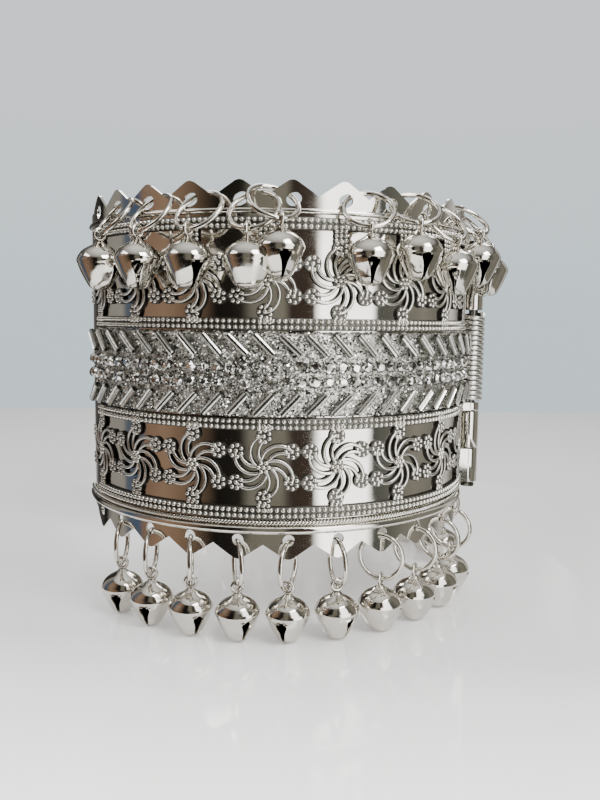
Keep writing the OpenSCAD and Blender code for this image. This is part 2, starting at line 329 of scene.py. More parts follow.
def bright_cast():
    """The filigree: bright on top, rougher in its recesses, where polish doesn't reach, and painted
    near black there as shade.
    """
    f = Finish("bright_cast_metal", Metallic=1.0)
    worn = f.out_from_axis().between(CUFF_R + 0.42, CUFF_R + 0.64)
    grain = f.noise(0.35 * MM, 3.0)
    patches = f.noise(6 * MM, 2.0)
    bright = f.mix(patches, (0.86, 0.84, 0.78), (0.72, 0.70, 0.64))
    f.feed(
        # painted shade: below the tops of the wires and grains, the ground plate too, the colour is
        # near black
        Base_Color=f.mix(worn, (0.03, 0.027, 0.023), bright),
        Roughness=0.52 - 0.39 * worn + 0.08 * grain,
        Normal=f.bump(grain, 0.04 * MM, 0.4),
    )
    return f.material


def bell_metal():
    f = Finish("nickel_bell_metal", Metallic=1.0)
    smudges = f.noise(2.2 * MM, 3.0)
    dents = f.noise(3 * MM, 1.0)
    hairs = f.noise(1.0, 2.0, f.scaled((5000, 5000, 700)))
    f.feed(
        Base_Color=f.mix(smudges, (0.71, 0.68, 0.62), (0.55, 0.52, 0.465)),
        Roughness=0.07 + 0.16 * smudges.between(0.45, 0.8),
        Normal=f.bump(dents + 0.02 * hairs, 0.22 * MM, 0.5),
    )
    return f.material


def bell_inside():
    """The unpolished inside of a bell, rough, and painted nearly black as the shade seen through its
    slot.
    """
    f = Finish("dark_bell_inside", Metallic=0.5)
    stain = f.noise(0.9 * MM, 2.0)
    # painted shade: the inside's colour is nearly black
    f.feed(Base_Color=f.mix(stain, (0.012, 0.011, 0.010), (0.035, 0.032, 0.028)),
           Roughness=0.5 + 0.3 * stain)
    return f.material


def spring_steel():
    f = Finish("spring_steel", Metallic=1.0)
    drawn = f.noise(0.8 * MM, 3.0)
    shade_between_turns = f.out_from_axis(HINGE_X).between(1.66, 1.86)
    bright = f.mix(drawn, (0.74, 0.72, 0.68), (0.56, 0.545, 0.51))
    f.feed(
        # painted shade: the inner side of the coil, between the turns, is painted dark
        Base_Color=f.mix(shade_between_turns, (0.10, 0.095, 0.085), bright),
        Roughness=0.18 + 0.15 * drawn,
        Normal=f.bump(drawn, 0.03 * MM, 0.5),
    )
    return f.material


SHEET_METAL = polished_sheet()
CAST_METAL = bright_cast()
BELL_METAL = bell_metal()
BELL_INSIDE_SHADE = bell_inside()
SPRING_STEEL = spring_steel()
print("metals:", SHEET_METAL.name, CAST_METAL.name, BELL_METAL.name, SPRING_STEEL.name)

# %% [markdown]
# ## Glitter, glass and foil
#
# Glitter is thousands of flakes that each face their own way. A cell texture gives every
# flake one random normal and one brightness, so a small turn of the light makes other flakes
# flash. The glue between the flakes holds finer grit of the same kind. Bugle beads are glass
# tubes with a silver lining, and a rhinestone is cut glass on foil: both send back nearly all
# the light under a clear skin, so both are made as a bright metal with a coat.

# %% Glitter, glass and foil finishes
def flake_glitter(name, flake, dark, light, most_lean, roughness):
    """Glitter: every cell has a tone of its own and leans its own way."""
    f = Finish(name, Metallic=0.9)
    cells = {"Vector": f.place, "Scale": 1 / flake, "Randomness": 1.0}
    colour = f.add("ShaderNodeTexVoronoi", None, cells, "Color")
    shade = f.add("ShaderNodeSeparateColor", None, {0: colour})
    tilt = f.add("ShaderNodeVectorMath", {"operation": "SUBTRACT"}, {0: colour, 1: (0.5, 0.5, 0.5)})
    lean = f.add("ShaderNodeVectorMath", {"operation": "SCALE"}, {0: tilt, "Scale": most_lean})
    plain = f.add("ShaderNodeNewGeometry", out="Normal")
    facing = f.add("ShaderNodeVectorMath", {"operation": "ADD"}, {0: plain, 1: lean})
    f.feed(
        Base_Color=f.mix(shade.between(0.2, 0.6), dark, light),
        Roughness=roughness + 0.12 * shade,
        Normal=f.add("ShaderNodeVectorMath", {"operation": "NORMALIZE"}, {0: facing}),
    )
    return f.material


def lined_glass():
    """Bugle glass: painted bright where the tube stands out, and painted dark, as shade, where it
    dips to the glue.
    """
    f = Finish("silver_lined_glass", Metallic=0.85, Coat_Weight=1.0, Coat_Roughness=0.03)
    lining = f.noise(0.7 * MM, 3.0)
    bright = f.mix(lining.between(0.35, 0.7), (0.95, 0.94, 0.90), (0.60, 0.59, 0.54))
    above_glue_shade = f.out_from_axis().between(CUFF_R + 1.70, CUFF_R + 1.86)
    f.feed(
        # painted shade: the part of each tube nearest the glue is painted dark
        Base_Color=f.mix(above_glue_shade, (0.13, 0.125, 0.105), bright),
        Roughness=0.08 + 0.22 * lining,
        Normal=f.bump(lining, 0.05 * MM, 0.35),
    )
    return f.material


def cut_glass():
    """Rhinestones: noise paints the glass in patches, bright ones as painted reflections of the
    light and dark ones as painted shade.
    """
    f = Finish("foiled_cut_glass", Metallic=0.95, Coat_Weight=1.0, Coat_Roughness=0.0)
    foil = f.noise(0.9 * MM, 1.0)
    f.feed(
        # painted reflection and painted shade: bright and dark patches laid by noise
        Base_Color=f.mix(foil.between(0.4, 0.6), (0.98, 0.98, 0.95), (0.17, 0.165, 0.15)),
        Roughness=0.03 + 0.05 * foil,
    )
    return f.material


GLITTER = flake_glitter(
    "glitter_flakes", 0.36 * MM, (0.10, 0.097, 0.085), (0.99, 0.98, 0.94), 1.3, 0.05)
GLITTER_GLUE = flake_glitter(
    "glitter_glue", 0.24 * MM, (0.24, 0.235, 0.21), (0.66, 0.65, 0.60), 0.6, 0.32)
BUGLE_GLASS = lined_glass()
CUT_GLASS = cut_glass()
print("bright stuff:", GLITTER.name, BUGLE_GLASS.name, CUT_GLASS.name)

# %% [markdown]
# ## Geometry Nodes trees
#
# A tree gets a named input for each size, and the methods below add the nodes that most trees
# of this cuff need: rows of points, copies on points, random turns, and the bend round the
# cuff in which nearly all of them end.

# %% Trees
SOCKETS = {
    float: "NodeSocketFloat", int: "NodeSocketInt",
    bpy.types.Object: "NodeSocketObject", bpy.types.Material: "NodeSocketMaterial",
}


class Tree(Graph):
    """A Geometry Nodes tree, its named inputs, and their values."""

    def __init__(self, name, **inputs):
        super().__init__(bpy.data.node_groups.new(name, "GeometryNodeTree"))
        self.values = {}
        self.tree.interface.new_socket(
            "Geometry", in_out="INPUT", socket_type="NodeSocketGeometry")
        for label, value in inputs.items():
            kind = next(k for t, k in SOCKETS.items() if isinstance(value, t))
            item = self.tree.interface.new_socket(
                label.replace("_", " "), in_out="INPUT", socket_type=kind)
            self.values[item.identifier] = value
        self.tree.interface.new_socket(
            "Geometry", in_out="OUTPUT", socket_type="NodeSocketGeometry")
        self.given = self.new("NodeGroupInput")
        self.result = self.new("NodeGroupOutput")

    def __getitem__(self, label):
        return Value(self, self.given.outputs[label.replace("_", " ")])

    def xyz(self, x=0.0, y=0.0, z=0.0):
        return self.add("ShaderNodeCombineXYZ", None, {0: x, 1: y, 2: z})

    def place(self):
        """x, y and z of every point."""
        return self.split(self.add("GeometryNodeInputPosition"))

    def number(self):
        """The number of each point, from 0 on."""
        return self.add("GeometryNodeInputIndex")

    def stored(self, name, kind="FLOAT"):
        """What is stored on the points or faces under this name."""
        return self.add("GeometryNodeInputNamedAttribute", {"data_type": kind}, {"Name": name})

    def random(self, low, high, seed):
        return self.add("FunctionNodeRandomValue", {"data_type": "FLOAT"},
                        {2: low, 3: high, 8: seed}, 1)

    def random_vector(self, reach, seed):
        return self.xyz(*(self.random(-reach, reach, seed + n) for n in (100, 200, 300)))

    def shape(self, label, whole=True):
        """The mesh of an object that is one of the tree's inputs."""
        return self.add("GeometryNodeObjectInfo", None,
                        {"Object": self[label], "As Instance": whole}, "Geometry")

    def on(self, points, piece, rotation=None, scale=None, selection=None):
        """A copy of the piece on each point."""
        inputs = {"Points": points, "Instance": piece}
        for name, value in (("Rotation", rotation), ("Scale", scale), ("Selection", selection)):
            if value is not None:
                inputs[name] = value
        return self.add("GeometryNodeInstanceOnPoints", None, inputs)

    def line(self, count, step=(0, 0, 0), start=(0, 0, 0)):
        """Points in a straight row, or all in one place."""
        return self.add("GeometryNodeMeshLine", None,
                        {"Count": count, "Offset": step, "Start Location": start})

    def row(self, count, height):
        """Points along a strip, from First on, at each Step, as far out as Out."""
        start = self.xyz(self["First"], -self["Out"], height)
        return self.line(count, self.xyz(self["Step"]), start)

    def coil(self, steps, sides):
        """A wound wire: a Spiral curve with so many steps a turn, and a round profile."""
        spiral = self.add("GeometryNodeCurveSpiral", None, {
            "Resolution": steps, "Rotations": self["Turns"], "Start Radius": self["Coil"],
            "End Radius": self["Coil"], "Height": self["Length"]})
        profile = self.add("GeometryNodeCurvePrimitiveCircle", None,
                           {"Resolution": sides, "Radius": self["Wire"]})
        return self.add("GeometryNodeCurveToMesh", None,
                        {"Curve": spiral, "Profile Curve": profile, "Fill Caps": True})

    def moved(self, geometry, offset):
        return self.add("GeometryNodeSetPosition", None, {"Geometry": geometry, "Offset": offset})

    def scatter(self, surface, density, seed):
        return self.add("GeometryNodeDistributePointsOnFaces", None,
                        {"Mesh": surface, "Density": density, "Seed": seed})

    def flakes(self, spots, seed):
        """A flake of glitter on each spot, with a lean and a size of its own."""
        lean = self.random_vector(self["Lean"], seed)
        size = self.random(self["Smallest"], self["Largest"], seed + 2)
        flakes = self.on(spots, self.shape("Flake"), rotation=lean, scale=size)
        return self.coated(flakes, self["Glitter"])

    def join(self, *parts):
        return self.add("GeometryNodeJoinGeometry", None, {0: list(parts)})

    def bend(self, flat):
        """Bends what was laid out flat round the cuff: x is s, -y is how far out it stands."""
        s, depth, z = self.place()
        angle = s / (CUFF_R * MM)
        r = CUFF_R * MM - depth
        new_place = self.xyz(r * angle.math("SINE"), -(r * angle.math("COSINE")), z)
        return self.add("GeometryNodeSetPosition", None, {"Geometry": flat, "Position": new_place})

    def real(self, geometry):
        return self.add("GeometryNodeRealizeInstances", None, {0: geometry})

    def coated(self, geometry, material, where=None):
        inputs = {"Geometry": geometry, "Material": material}
        if where is not None:
            inputs["Selection"] = where
        return self.add("GeometryNodeSetMaterial", None, inputs)

    def end(self, geometry, material):
        self.output(self.coated(self.real(geometry), material))

    def output(self, geometry):
        self.put(self.result.inputs[0], geometry)


print("kinds of tree inputs:", len(SOCKETS))

# %% [markdown]
# ## From trees and lists to meshes
#
# To use a tree, an empty object gets it as a modifier, its inputs are set by their
# identifiers, and the evaluated result is copied to a plain mesh. Pieces with few points are
# listed instead: rows of points, and the faces between one row and the next.

# %% Mesh helpers
def link(obj):
    bpy.context.scene.collection.objects.link(obj)
    return obj


def evaluated_mesh(obj):
    """The object's mesh with its modifiers applied."""
    bpy.context.view_layer.update()
    seen = obj.evaluated_get(bpy.context.evaluated_depsgraph_get())
    return bpy.data.meshes.new_from_object(seen)


def modify(obj, kind, **settings):
    modifier = obj.modifiers.new(kind, kind)
    for name, value in settings.items():
        setattr(modifier, name, value)
    return modifier


def apply_modifiers(obj):
    """Makes what the modifiers do part of the object's own mesh."""
    obj.data = evaluated_mesh(obj)
    obj.modifiers.clear()


def grown(tree, name, start=None, smooth_degrees=None):
    """The plain mesh object that a tree makes of a start mesh, or of nothing."""
    host = link(bpy.data.objects.new(name + "_host", start or bpy.data.meshes.new(name + "_host")))
    modifier = modify(host, "NODES", node_group=tree.tree)
    for identifier, value in tree.values.items():
        modifier[identifier] = value
    mesh = evaluated_mesh(host)
    forget(host)
    mesh.name = name
    obj = link(bpy.data.objects.new(name, mesh))
    if smooth_degrees:
        shade_smooth(obj, smooth_degrees)
    return obj


def forget(*objects):
    for obj in objects:
        bpy.data.objects.remove(obj)


def shade_smooth(obj, degrees=40):
    """Smooth shading that keeps edges sharper than so many degrees."""
    mesh = obj.data
    mesh.shade_smooth()
    bm = bmesh.new()
    bm.from_mesh(mesh)
    for edge in bm.edges:
        edge.smooth = len(edge.link_faces) == 2 and edge.calc_face_angle() < math.radians(degrees)
    bm.to_mesh(mesh)
    bm.free()


def turns(count, start=0.0):
    """The angles of so many even steps round a circle."""
    return [2 * math.pi * (k + start) / count for k in range(count)]


def circle(x, z, r, sides=20):
    return [(x + r * math.cos(a), z + r * math.sin(a)) for a in turns(sides)]


def ring_of(row, count, closed=True, looped=False):
    """Quads between count rows as long as row. closed joins the ends of each row, and looped
    joins the last row to the first."""
    faces = []
    width = len(row)
    for line in range(count if looped else count - 1):
        here, after = line * width, (line + 1) % count * width
        for k in range(width if closed else width - 1):
            m = (k + 1) % width
            faces.append((here + k, here + m, after + m, after + k))
    return faces


def capped(row, count=2):
    """The quads of ring_of, with a face over both ends."""
    width = len(row)
    last = (count - 1) * width
    ends = [tuple(reversed(range(width))), tuple(range(last, last + width))]
    return ring_of(row, count) + ends


def inside_out(faces):
    return [tuple(reversed(face)) for face in faces]


def put_together(parts):
    """The points and faces of several parts as one list of each."""
    points, faces = [], []
    for more_points, more_faces in parts:
        faces += [tuple(n + len(points) for n in face) for face in more_faces]
        points += more_points
    return points, faces


def turn_outwards(obj, merge=None):
    """Turns the faces outwards, after joining points that are closer than merge metres."""
    bm = bmesh.new()
    bm.from_mesh(obj.data)
    if merge:
        bmesh.ops.remove_doubles(bm, verts=bm.verts, dist=merge)
    bmesh.ops.recalc_face_normals(bm, faces=bm.faces)
    bm.to_mesh(obj.data)
    bm.free()


def mesh_object(name, points, faces, material=None, smooth_degrees=40):
    """A mesh of points in metres."""
    mesh = bpy.data.meshes.new(name)
    mesh.from_pydata([tuple(p) for p in points], [], faces)
    mesh.validate()
    if material:
        mesh.materials.append(material)
    obj = link(bpy.data.objects.new(name, mesh))
    if smooth_degrees:
        shade_smooth(obj, smooth_degrees)
    return obj


def joined(name, *objects):
    """One object of several, in the order given."""
    materials = []
    bm = bmesh.new()
    for obj in objects:
        slots = []
        for material in obj.data.materials:
            if material not in materials:
                materials.append(material)
            slots.append(materials.index(material))
        before = len(bm.faces)
        bm.from_mesh(obj.data)
        bm.faces.ensure_lookup_table()
        for face in bm.faces[before:]:
            face.material_index = slots[face.material_index] if slots else 0
    mesh = bpy.data.meshes.new(name)
    bm.to_mesh(mesh)
    bm.free()
    for material in materials:
        mesh.materials.append(material)
    forget(*objects)
    return link(bpy.data.objects.new(name, mesh))


def mirrored(obj, name):
    """The same piece on the back half, turned right side out again."""
    mesh = obj.data.copy()
    mesh.name = name
    mesh.transform(Matrix.Scale(-1, 4, (0, 1, 0)))
    mesh.flip_normals()
    return link(bpy.data.objects.new(name, mesh))


def triangles(obj):
    return sum(len(p.vertices) - 2 for p in obj.data.polygons)


def finished(obj, body, slot, *nodes):
    """Gives a piece its body and hides the solids that it stands for. The slot is not used."""
    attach(obj, body)
    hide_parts(*nodes)
    print(obj.name, "on", body, triangles(obj), "triangles")


def both_halves(obj, name, slot, *nodes):
    """A front piece and its mirror image, each in the place of its own half's solids."""
    back = mirrored(obj, "back_" + name)
    obj.name = "front_" + name
    finished(obj, FRONT, slot, *("front_" + n for n in nodes))
    finished(back, BACK, slot, *("back_" + n for n in nodes))


print("mesh helpers ready")

# %% [markdown]
# ## The sheet
#
# Each shell starts as a strip of quads whose columns end on the zigzag line. It gets its
# wall, and the holes are then drilled by a Boolean. A mirror shows every uneven quad, so in
# the end each corner on the two round faces is given the exact normal of the cylinder.

# %% Sheet outline
COLUMNS_PER_TOOTH = 24
TOOTH_ROUND = 1.3
TIP_WORN = 0.055
PLAIN_RISE = 0.05
UPPER_HOLE_R = 0.88
UPPER_HOLE_STRETCH = (0.4, 0.2)
LOWER_HOLE_R = 0.88
LOWER_RING_DROP = 0.34
DRILL_FROM_TO = (-2.0, 1.0)
UPPER_HOLE_Z = VALLEY_Z - 0.3
LOWER_HOLE_Z = VALLEY_Z - 0.4


def edge_height(s):
    """Height of the zigzag edge at s: rounded points, shallow valleys, plain at both ends."""
    if not tooth_s(-0.5) < s < tooth_s(TEETH - 0.5):
        return VALLEY_Z + PLAIN_RISE
    off = abs((s - tooth_s(0) + TOOTH_PITCH / 2) % TOOTH_PITCH - TOOTH_PITCH / 2)
    slope = TOOTH_H / (TOOTH_PITCH / 2)
    flank = math.atan(slope)
    top = TOOTH_H - TIP_WORN
    height = top + TOOTH_ROUND * (1 / math.cos(flank) - 1) - slope * off
    if off < TOOTH_ROUND * math.sin(flank):
        height = top - TOOTH_ROUND + math.sqrt(TOOTH_ROUND ** 2 - off ** 2)
    return VALLEY_Z + max(height, PLAIN_RISE)


def sheet_columns():
    """Places of the columns: evenly spaced, with one at each point and valley."""
    step = TOOTH_PITCH / COLUMNS_PER_TOOTH
    first = tooth_s(-0.5)
    count = int((END_S - first) / step)
    inner = [first + k * step for k in range(count + 1)]
    plain = [OPEN_S + k * (first - OPEN_S) / 12 for k in range(12)]
    return plain + inner + [END_S]


def plain_sheet():
    rows = [-1, -0.9, -0.5, 0, 0.5, 0.9, 1]
    places = sheet_columns()
    points = []
    for part in rows:
        for s in places:
            z = part * VALLEY_Z if abs(part) < 1 else part * edge_height(s)
            points.append(bent(s, 0, z))
    faces = ring_of(places, len(rows), closed=False)
    sheet = mesh_object("sheet", points, faces, SHEET_METAL, 0)
    modify(sheet, "SOLIDIFY", thickness=SHEET_T * MM, offset=-1, use_even_offset=True)
    return sheet


def hole_cutter(tooth, r, z, stretch):
    """A drill, drawn long where the hole is worn long by its ring."""
    rim = []
    for a in turns(32):
        # the half of the outline that faces along the stretch is moved by it
        ahead = math.cos(a) * stretch[0] + math.sin(a) * stretch[1] > 0
        rim.append((r * math.cos(a) + ahead * stretch[0],
                    z + r * math.sin(a) + ahead * stretch[1]))
    points = [bent(tooth + x, out, height) for out in DRILL_FROM_TO for x, height in rim]
    return points, capped(rim)


def hole_cutters():
    drills = []
    for k in range(TEETH):
        drills.append(hole_cutter(tooth_s(k), UPPER_HOLE_R, UPPER_HOLE_Z, UPPER_HOLE_STRETCH))
        drills.append(hole_cutter(tooth_s(k), LOWER_HOLE_R, -LOWER_HOLE_Z, (0, 0)))
    return mesh_object("hole_cutters", *put_together(drills), None, 0)


def round_normals(obj, slack=0.01):
    """Gives the corners of the sheet's two round faces the cylinder's own normals."""
    mesh = obj.data
    normals = [corner.vector.copy() for corner in mesh.corner_normals]
    for face in mesh.polygons:
        places = [mesh.vertices[n].co for n in face.vertices]
        radii = [math.hypot(p.x, p.y) / MM for p in places]
        side = 0
        if all(abs(r - CUFF_R) < slack for r in radii):
            side = 1
        if all(abs(r - CUFF_R + SHEET_T) < slack for r in radii):
            side = -1
        if side:
            for corner in face.loop_indices:
                place = mesh.vertices[mesh.loops[corner].vertex_index].co
                normals[corner] = Vector((place.x, place.y, 0)).normalized() * side
    mesh.normals_split_custom_set(normals)


def drilled_sheet():
    sheet = plain_sheet()
    cutters = hole_cutters()
    modify(sheet, "BOOLEAN", object=cutters, operation="DIFFERENCE", solver="EXACT")
    apply_modifiers(sheet)
    forget(cutters)
    shade_smooth(sheet, 30)
    return sheet


sheet = drilled_sheet()
print("sheet:", triangles(sheet), "triangles")

# %% [markdown]
# ## Lips and ribs
#
# A rolled lip stiffens the lower edge, a thinner rib the upper one. Both are one round
# profile swept along the arc, so a short function makes the tube and closes its ends.

# %% Lips, rib and knuckles
LIP_Z, LIP_R, LIP_OUT = -22.65, 0.6, 0.25
RIB_Z, RIB_R, RIB_OUT = 22.85, 0.4, 0.1
KNUCKLE_R = 1.6
BORE_R = 0.85
KNUCKLE_SOFT = (0.15, 0.04)
WEB_SHORT = 0.02
WEB_Y = 1.8
# the web seen from above, from the knuckle to the sheet's end and back
WEB_PLAN = [
    (HINGE_X - 0.1, KNUCKLE_R - 0.02), (CUFF_R + 0.3, WEB_Y), (CUFF_R - 0.35, WEB_Y),
    (CUFF_R - 0.2, 0.3), (HINGE_X - 0.95, 0.3),
]
FRONT_KNUCKLES = ((-21.2, -15.1), (-8.1, -6.7), (16.2, 21.2))
BACK_KNUCKLES = ((-14.9, -8.3), (9.9, 16.0))


def swept_tube(name, r, out, z, material, sides=20, steps=150):
    """A round bar along the whole arc of the front shell."""
    profile = circle(out, z, r, sides)
    points = []
    for step in range(steps + 1):
        s = OPEN_S + (END_S - OPEN_S) * step / steps
        points += [bent(s, *place) for place in profile]
    return mesh_object(name, points, inside_out(capped(profile, steps + 1)), material, 60)


def turned_knuckle(outline, sides=32):
    """A closed outline of (r, z) points turned about the hinge's axis."""
    points = [Vector((HINGE_X + r * math.cos(a), r * math.sin(a), z)) * MM
              for a in turns(sides) for r, z in outline]
    count = len(outline)
    faces = []
    for k in range(sides):
        for n in range(count):
            a, b = k * count, (k + 1) % sides * count
            m = (n + 1) % count
            faces.append((a + n, b + n, b + m, a + m))
    obj = mesh_object("knuckle", points, faces, SHEET_METAL, 0)
    turn_outwards(obj, merge=0.0001 * MM)
    shade_smooth(obj, 50)
    return obj


def knuckle(low, high, side):
    """A curled knuckle and its web. side is -1 on the front half and 1 on the back."""
    soft, less = KNUCKLE_SOFT
    tube = turned_knuckle([
        (BORE_R, low), (KNUCKLE_R - soft, low), (KNUCKLE_R - less, low + less),
        (KNUCKLE_R, low + soft), (KNUCKLE_R, high - soft), (KNUCKLE_R - less, high - less),
        (KNUCKLE_R - soft, high), (BORE_R, high),
    ])
    points = [Vector((x, side * y, z)) * MM
              for z in (low + WEB_SHORT, high - WEB_SHORT) for x, y in WEB_PLAN]
    count = len(WEB_PLAN)
    faces = [tuple(range(count)), tuple(count + k for k in reversed(range(count)))]
    for k in range(count):
        m = (k + 1) % count
        faces.append((k, k + count, m + count, m))
    if side > 0:
        faces = inside_out(faces)
    web = mesh_object("web", points, faces, SHEET_METAL, 30)
    return tube, web


def knuckles(spans, side):
    return [piece for low, high in spans for piece in knuckle(low, high, side)]


lip = swept_tube("lip", LIP_R, LIP_OUT, LIP_Z, SHEET_METAL)
rib = swept_tube("rib", RIB_R, RIB_OUT, RIB_Z, SHEET_METAL, sides=16)
print("lip and rib:", triangles(lip) + triangles(rib), "triangles")

# %% [markdown]
# ## The rope row
#
# Above the lower lip runs a rope of two twisted strands. A Spiral curve is already a helix,
# so two of them, half a turn apart, are laid along the strip, given a round profile and bent.

# %% Rope row
ROPE_Z = -21.55


def rope_tree():
    t = Tree("twisted_rope", Wire=0.19 * MM, Coil=0.17 * MM, Length=(END_S - OPEN_S) * MM,
             Start=OPEN_S * MM, Turns=88.0, Out=0.34 * MM, Height=ROPE_Z * MM, Strands=2,
             Material=SHEET_METAL)
    turn = t.xyz(z=t.number() * math.pi)
    pair = t.on(t.line(t["Strands"]), t.coil(12, 6), rotation=turn)
    laid = t.add("GeometryNodeTransform", None, {
        "Geometry": pair, "Rotation": (0, math.pi / 2, 0),
        "Translation": t.xyz(t["Start"], -t["Out"], t["Height"])})
    t.end(t.bend(t.real(laid)), t["Material"])
    return t


rope = grown(rope_tree(), "rope", smooth_degrees=70)
print("rope:", triangles(rope), "triangles")

# %% [markdown]
# ## The two shells
#
# Sheet, lip, rib and rope are the same on both halves, so the back's are mirrored. Only the
# knuckles differ, because they take turns along the pin. Everything soldered to one sheet
# becomes one body.

# %% Shells
front_parts = [sheet, lip, rib, rope] + knuckles(FRONT_KNUCKLES, -1)
back_parts = [mirrored(p, "back_" + p.name) for p in (sheet, lip, rib, rope)]
back_parts += knuckles(BACK_KNUCKLES, 1)
front_shell = joined("front_shell_sheet", *front_parts)
back_shell = joined("back_shell_sheet", *back_parts)
round_normals(front_shell)
round_normals(back_shell)
finished(front_shell, FRONT, "sheet_metal", "front_shell")
finished(back_shell, BACK, "sheet_metal", "back_shell")

# %% [markdown]
# ## Filigree: the pieces of one rosette
#
# The strips are cast with a pattern of six-armed whirls. A disc of small grains ends each
# arm, necks of grains tie the whirl to the borders, and each border is two rows of beads. A
# maker models one whirl and repeats it, so here too only one grain, one arm and one ground
# plate are made, lying flat with their faces towards -Y.

# %% Flat pieces
STRIP_OUT = 0.05
STRIP_T = 0.4
HUB_R = 1.05
DISC_R = 1.22
DISC_REACH = 4.5
SIDE_DISC = (3.98, 2.3)
ARM_SPREAD = (0.6, 1.2)
ARM_START = 0.18
ARM_SHORT = 0.2
WIRE_HALF_W = 0.27
# section of an arm's wire, across in half widths and up in strip thicknesses
WIRE_SECTION = [
    (-1, 0), (-1, 0.95), (-0.6, 1.35), (0, 1.5), (0.6, 1.35), (1, 0.95), (1, 0),
]
NECK_HALF_W = 0.95
LINK_HALF_H = 0.28
ARM_CURVE_R = 2.36
GRAIN_R = 0.42
HUB_GRAINS_R = 0.72
DISC_GRAINS_R = 0.86
# how far the middle grain and the ring of grains stand out
HUB_GRAINS_OUT = (0.62, 0.56)
DISC_GRAINS_OUT = (0.4, 0.36)
NECK_GRAINS = (-0.7, 0.0, 0.7)
NECK_START, NECK_GRAIN_STEP = 0.78, 0.62


def flat(x, out, z):
    """A place in the flat layout, in metres."""
    return Vector((x, -out, z)) * MM


def grain(name, r, sides=8):
    """A small dome with its foot at the origin, closed below."""
    levels = [(1.0, -0.3), (0.98, 0.15), (0.78, 0.62), (0.42, 0.9)]
    points = [flat(r * across * math.cos(a), r * up, r * across * math.sin(a))
              for across, up in levels for a in turns(sides)]
    points.append(flat(0, r, 0))
    faces = ring_of(range(sides), len(levels))
    top = len(points) - 1
    first = top - sides
    faces += [(first + k, first + (k + 1) % sides, top) for k in range(sides)]
    faces.append(tuple(reversed(range(sides))))
    return mesh_object(name, points, faces, None, 60)


def slab(outline, low, high):
    """Points and faces of a flat outline of (x, z) points, pushed from low to high."""
    return [flat(x, out, z) for out in (low, high) for x, z in outline], capped(outline)


def box(x0, x1, z0, z1):
    return [(x0, z0), (x1, z0), (x1, z1), (x0, z1)]


def disc_places():
    sides = [(x * SIDE_DISC[0], z * SIDE_DISC[1]) for x in (-1, 1) for z in (-1, 1)]
    return sides + [(0, DISC_REACH), (0, -DISC_REACH)]


def ground_plate(top, bottom):
    """What lies under the grains: hub, discs and the two necks up and down to the borders."""
    outlines = [circle(0, 0, HUB_R)] + [circle(x, z, DISC_R) for x, z in disc_places()]
    outlines += [box(-NECK_HALF_W, NECK_HALF_W, DISC_REACH, top),
                 box(-NECK_HALF_W, NECK_HALF_W, -bottom, -DISC_REACH)]
    for x0, x1 in ((-ROSETTE_PITCH / 2, -SIDE_DISC[0]), (SIDE_DISC[0], ROSETTE_PITCH / 2)):
        for z in (-SIDE_DISC[1], SIDE_DISC[1]):
            outlines.append(box(x0, x1, z - LINK_HALF_H, z + LINK_HALF_H))
    parts = (slab(outline, STRIP_OUT, STRIP_OUT + STRIP_T) for outline in outlines)
    return mesh_object("ground_plate", *put_together(parts))


def arm(steps=14):
    """One arm along +X: two raised wires that spread apart in the middle."""
    reach = DISC_REACH - ARM_SHORT
    half_turn = math.asin(reach / 2 / ARM_CURVE_R)
    dip = ARM_CURVE_R * math.cos(half_turn)
    near, wide = ARM_SPREAD
    wires = []
    for side in (-1, 1):
        points = []
        for step in range(steps + 1):
            share = ARM_START + (1 - ARM_START) * step / steps
            a = math.pi / 2 + half_turn - 2 * half_turn * share
            spread = near + (wide - near) * math.sin(math.pi * share) ** 0.7
            for across, up in WIRE_SECTION:
                r = ARM_CURVE_R - side * spread / 2 - across * WIRE_HALF_W
                x = reach / 2 + r * math.cos(a)
                points.append(flat(x, STRIP_OUT + up * STRIP_T, r * math.sin(a) - dip))
        wires.append((points, inside_out(capped(WIRE_SECTION, steps + 1))))
    return mesh_object("arm", *put_together(wires), None, 50)


def cluster(x, z, grains, across, start, outs):
    """A grain in the middle and a ring of them round it, as (x, z, out)."""
    ring = [(x + across * math.cos(a), z + across * math.sin(a), outs[1])
            for a in turns(grains, start)]
    return [(x, z, outs[0])] + ring


def grain_places(top, bottom):
    """Places of the grains of one rosette, and how far each stands out."""
    places = cluster(0, 0, 6, HUB_GRAINS_R, 0, HUB_GRAINS_OUT)
    for x, z in disc_places():
        places += cluster(x, z, 7, DISC_GRAINS_R, 0.5, DISC_GRAINS_OUT)
    for side, reach in ((1, top), (-1, bottom)):
        start = DISC_REACH + NECK_START
        rows = max(1, round((reach - start) / NECK_GRAIN_STEP))
        for row in range(rows):
            z = side * (start + (row + 0.5) * (reach - start) / rows)
            places += [(x, z, DISC_GRAINS_OUT[1]) for x in NECK_GRAINS]
    return places


def point_mesh(name, places):
    mesh = bpy.data.meshes.new(name)
    mesh.from_pydata([tuple(flat(x, out, z)) for x, z, out in places], [], [])
    return link(bpy.data.objects.new(name, mesh))


print("grain places in a rosette:", len(grain_places(8, 7)))

# %% [markdown]
# ## Filigree: the strips
#
# One tree lays out a whole strip. It puts a grain on each place of the rosette, sets six
# arms round the hub, repeats the rosette along the arc, threads the bead rows, and bends the
# strip round the cuff. Copying by hand would give the same shape, but here the number of
# rosettes and beads stays one value.

# %% Filigree tree
BORDER_W = 1.75
END_BAR_W = 0.9
BAR_BEVEL = 0.06
BEAD_INSETS = (0.45, 1.3)
BEAD_STEP = 0.868
BEAD_SHAPE = (0.88, 1.15, 0.9)


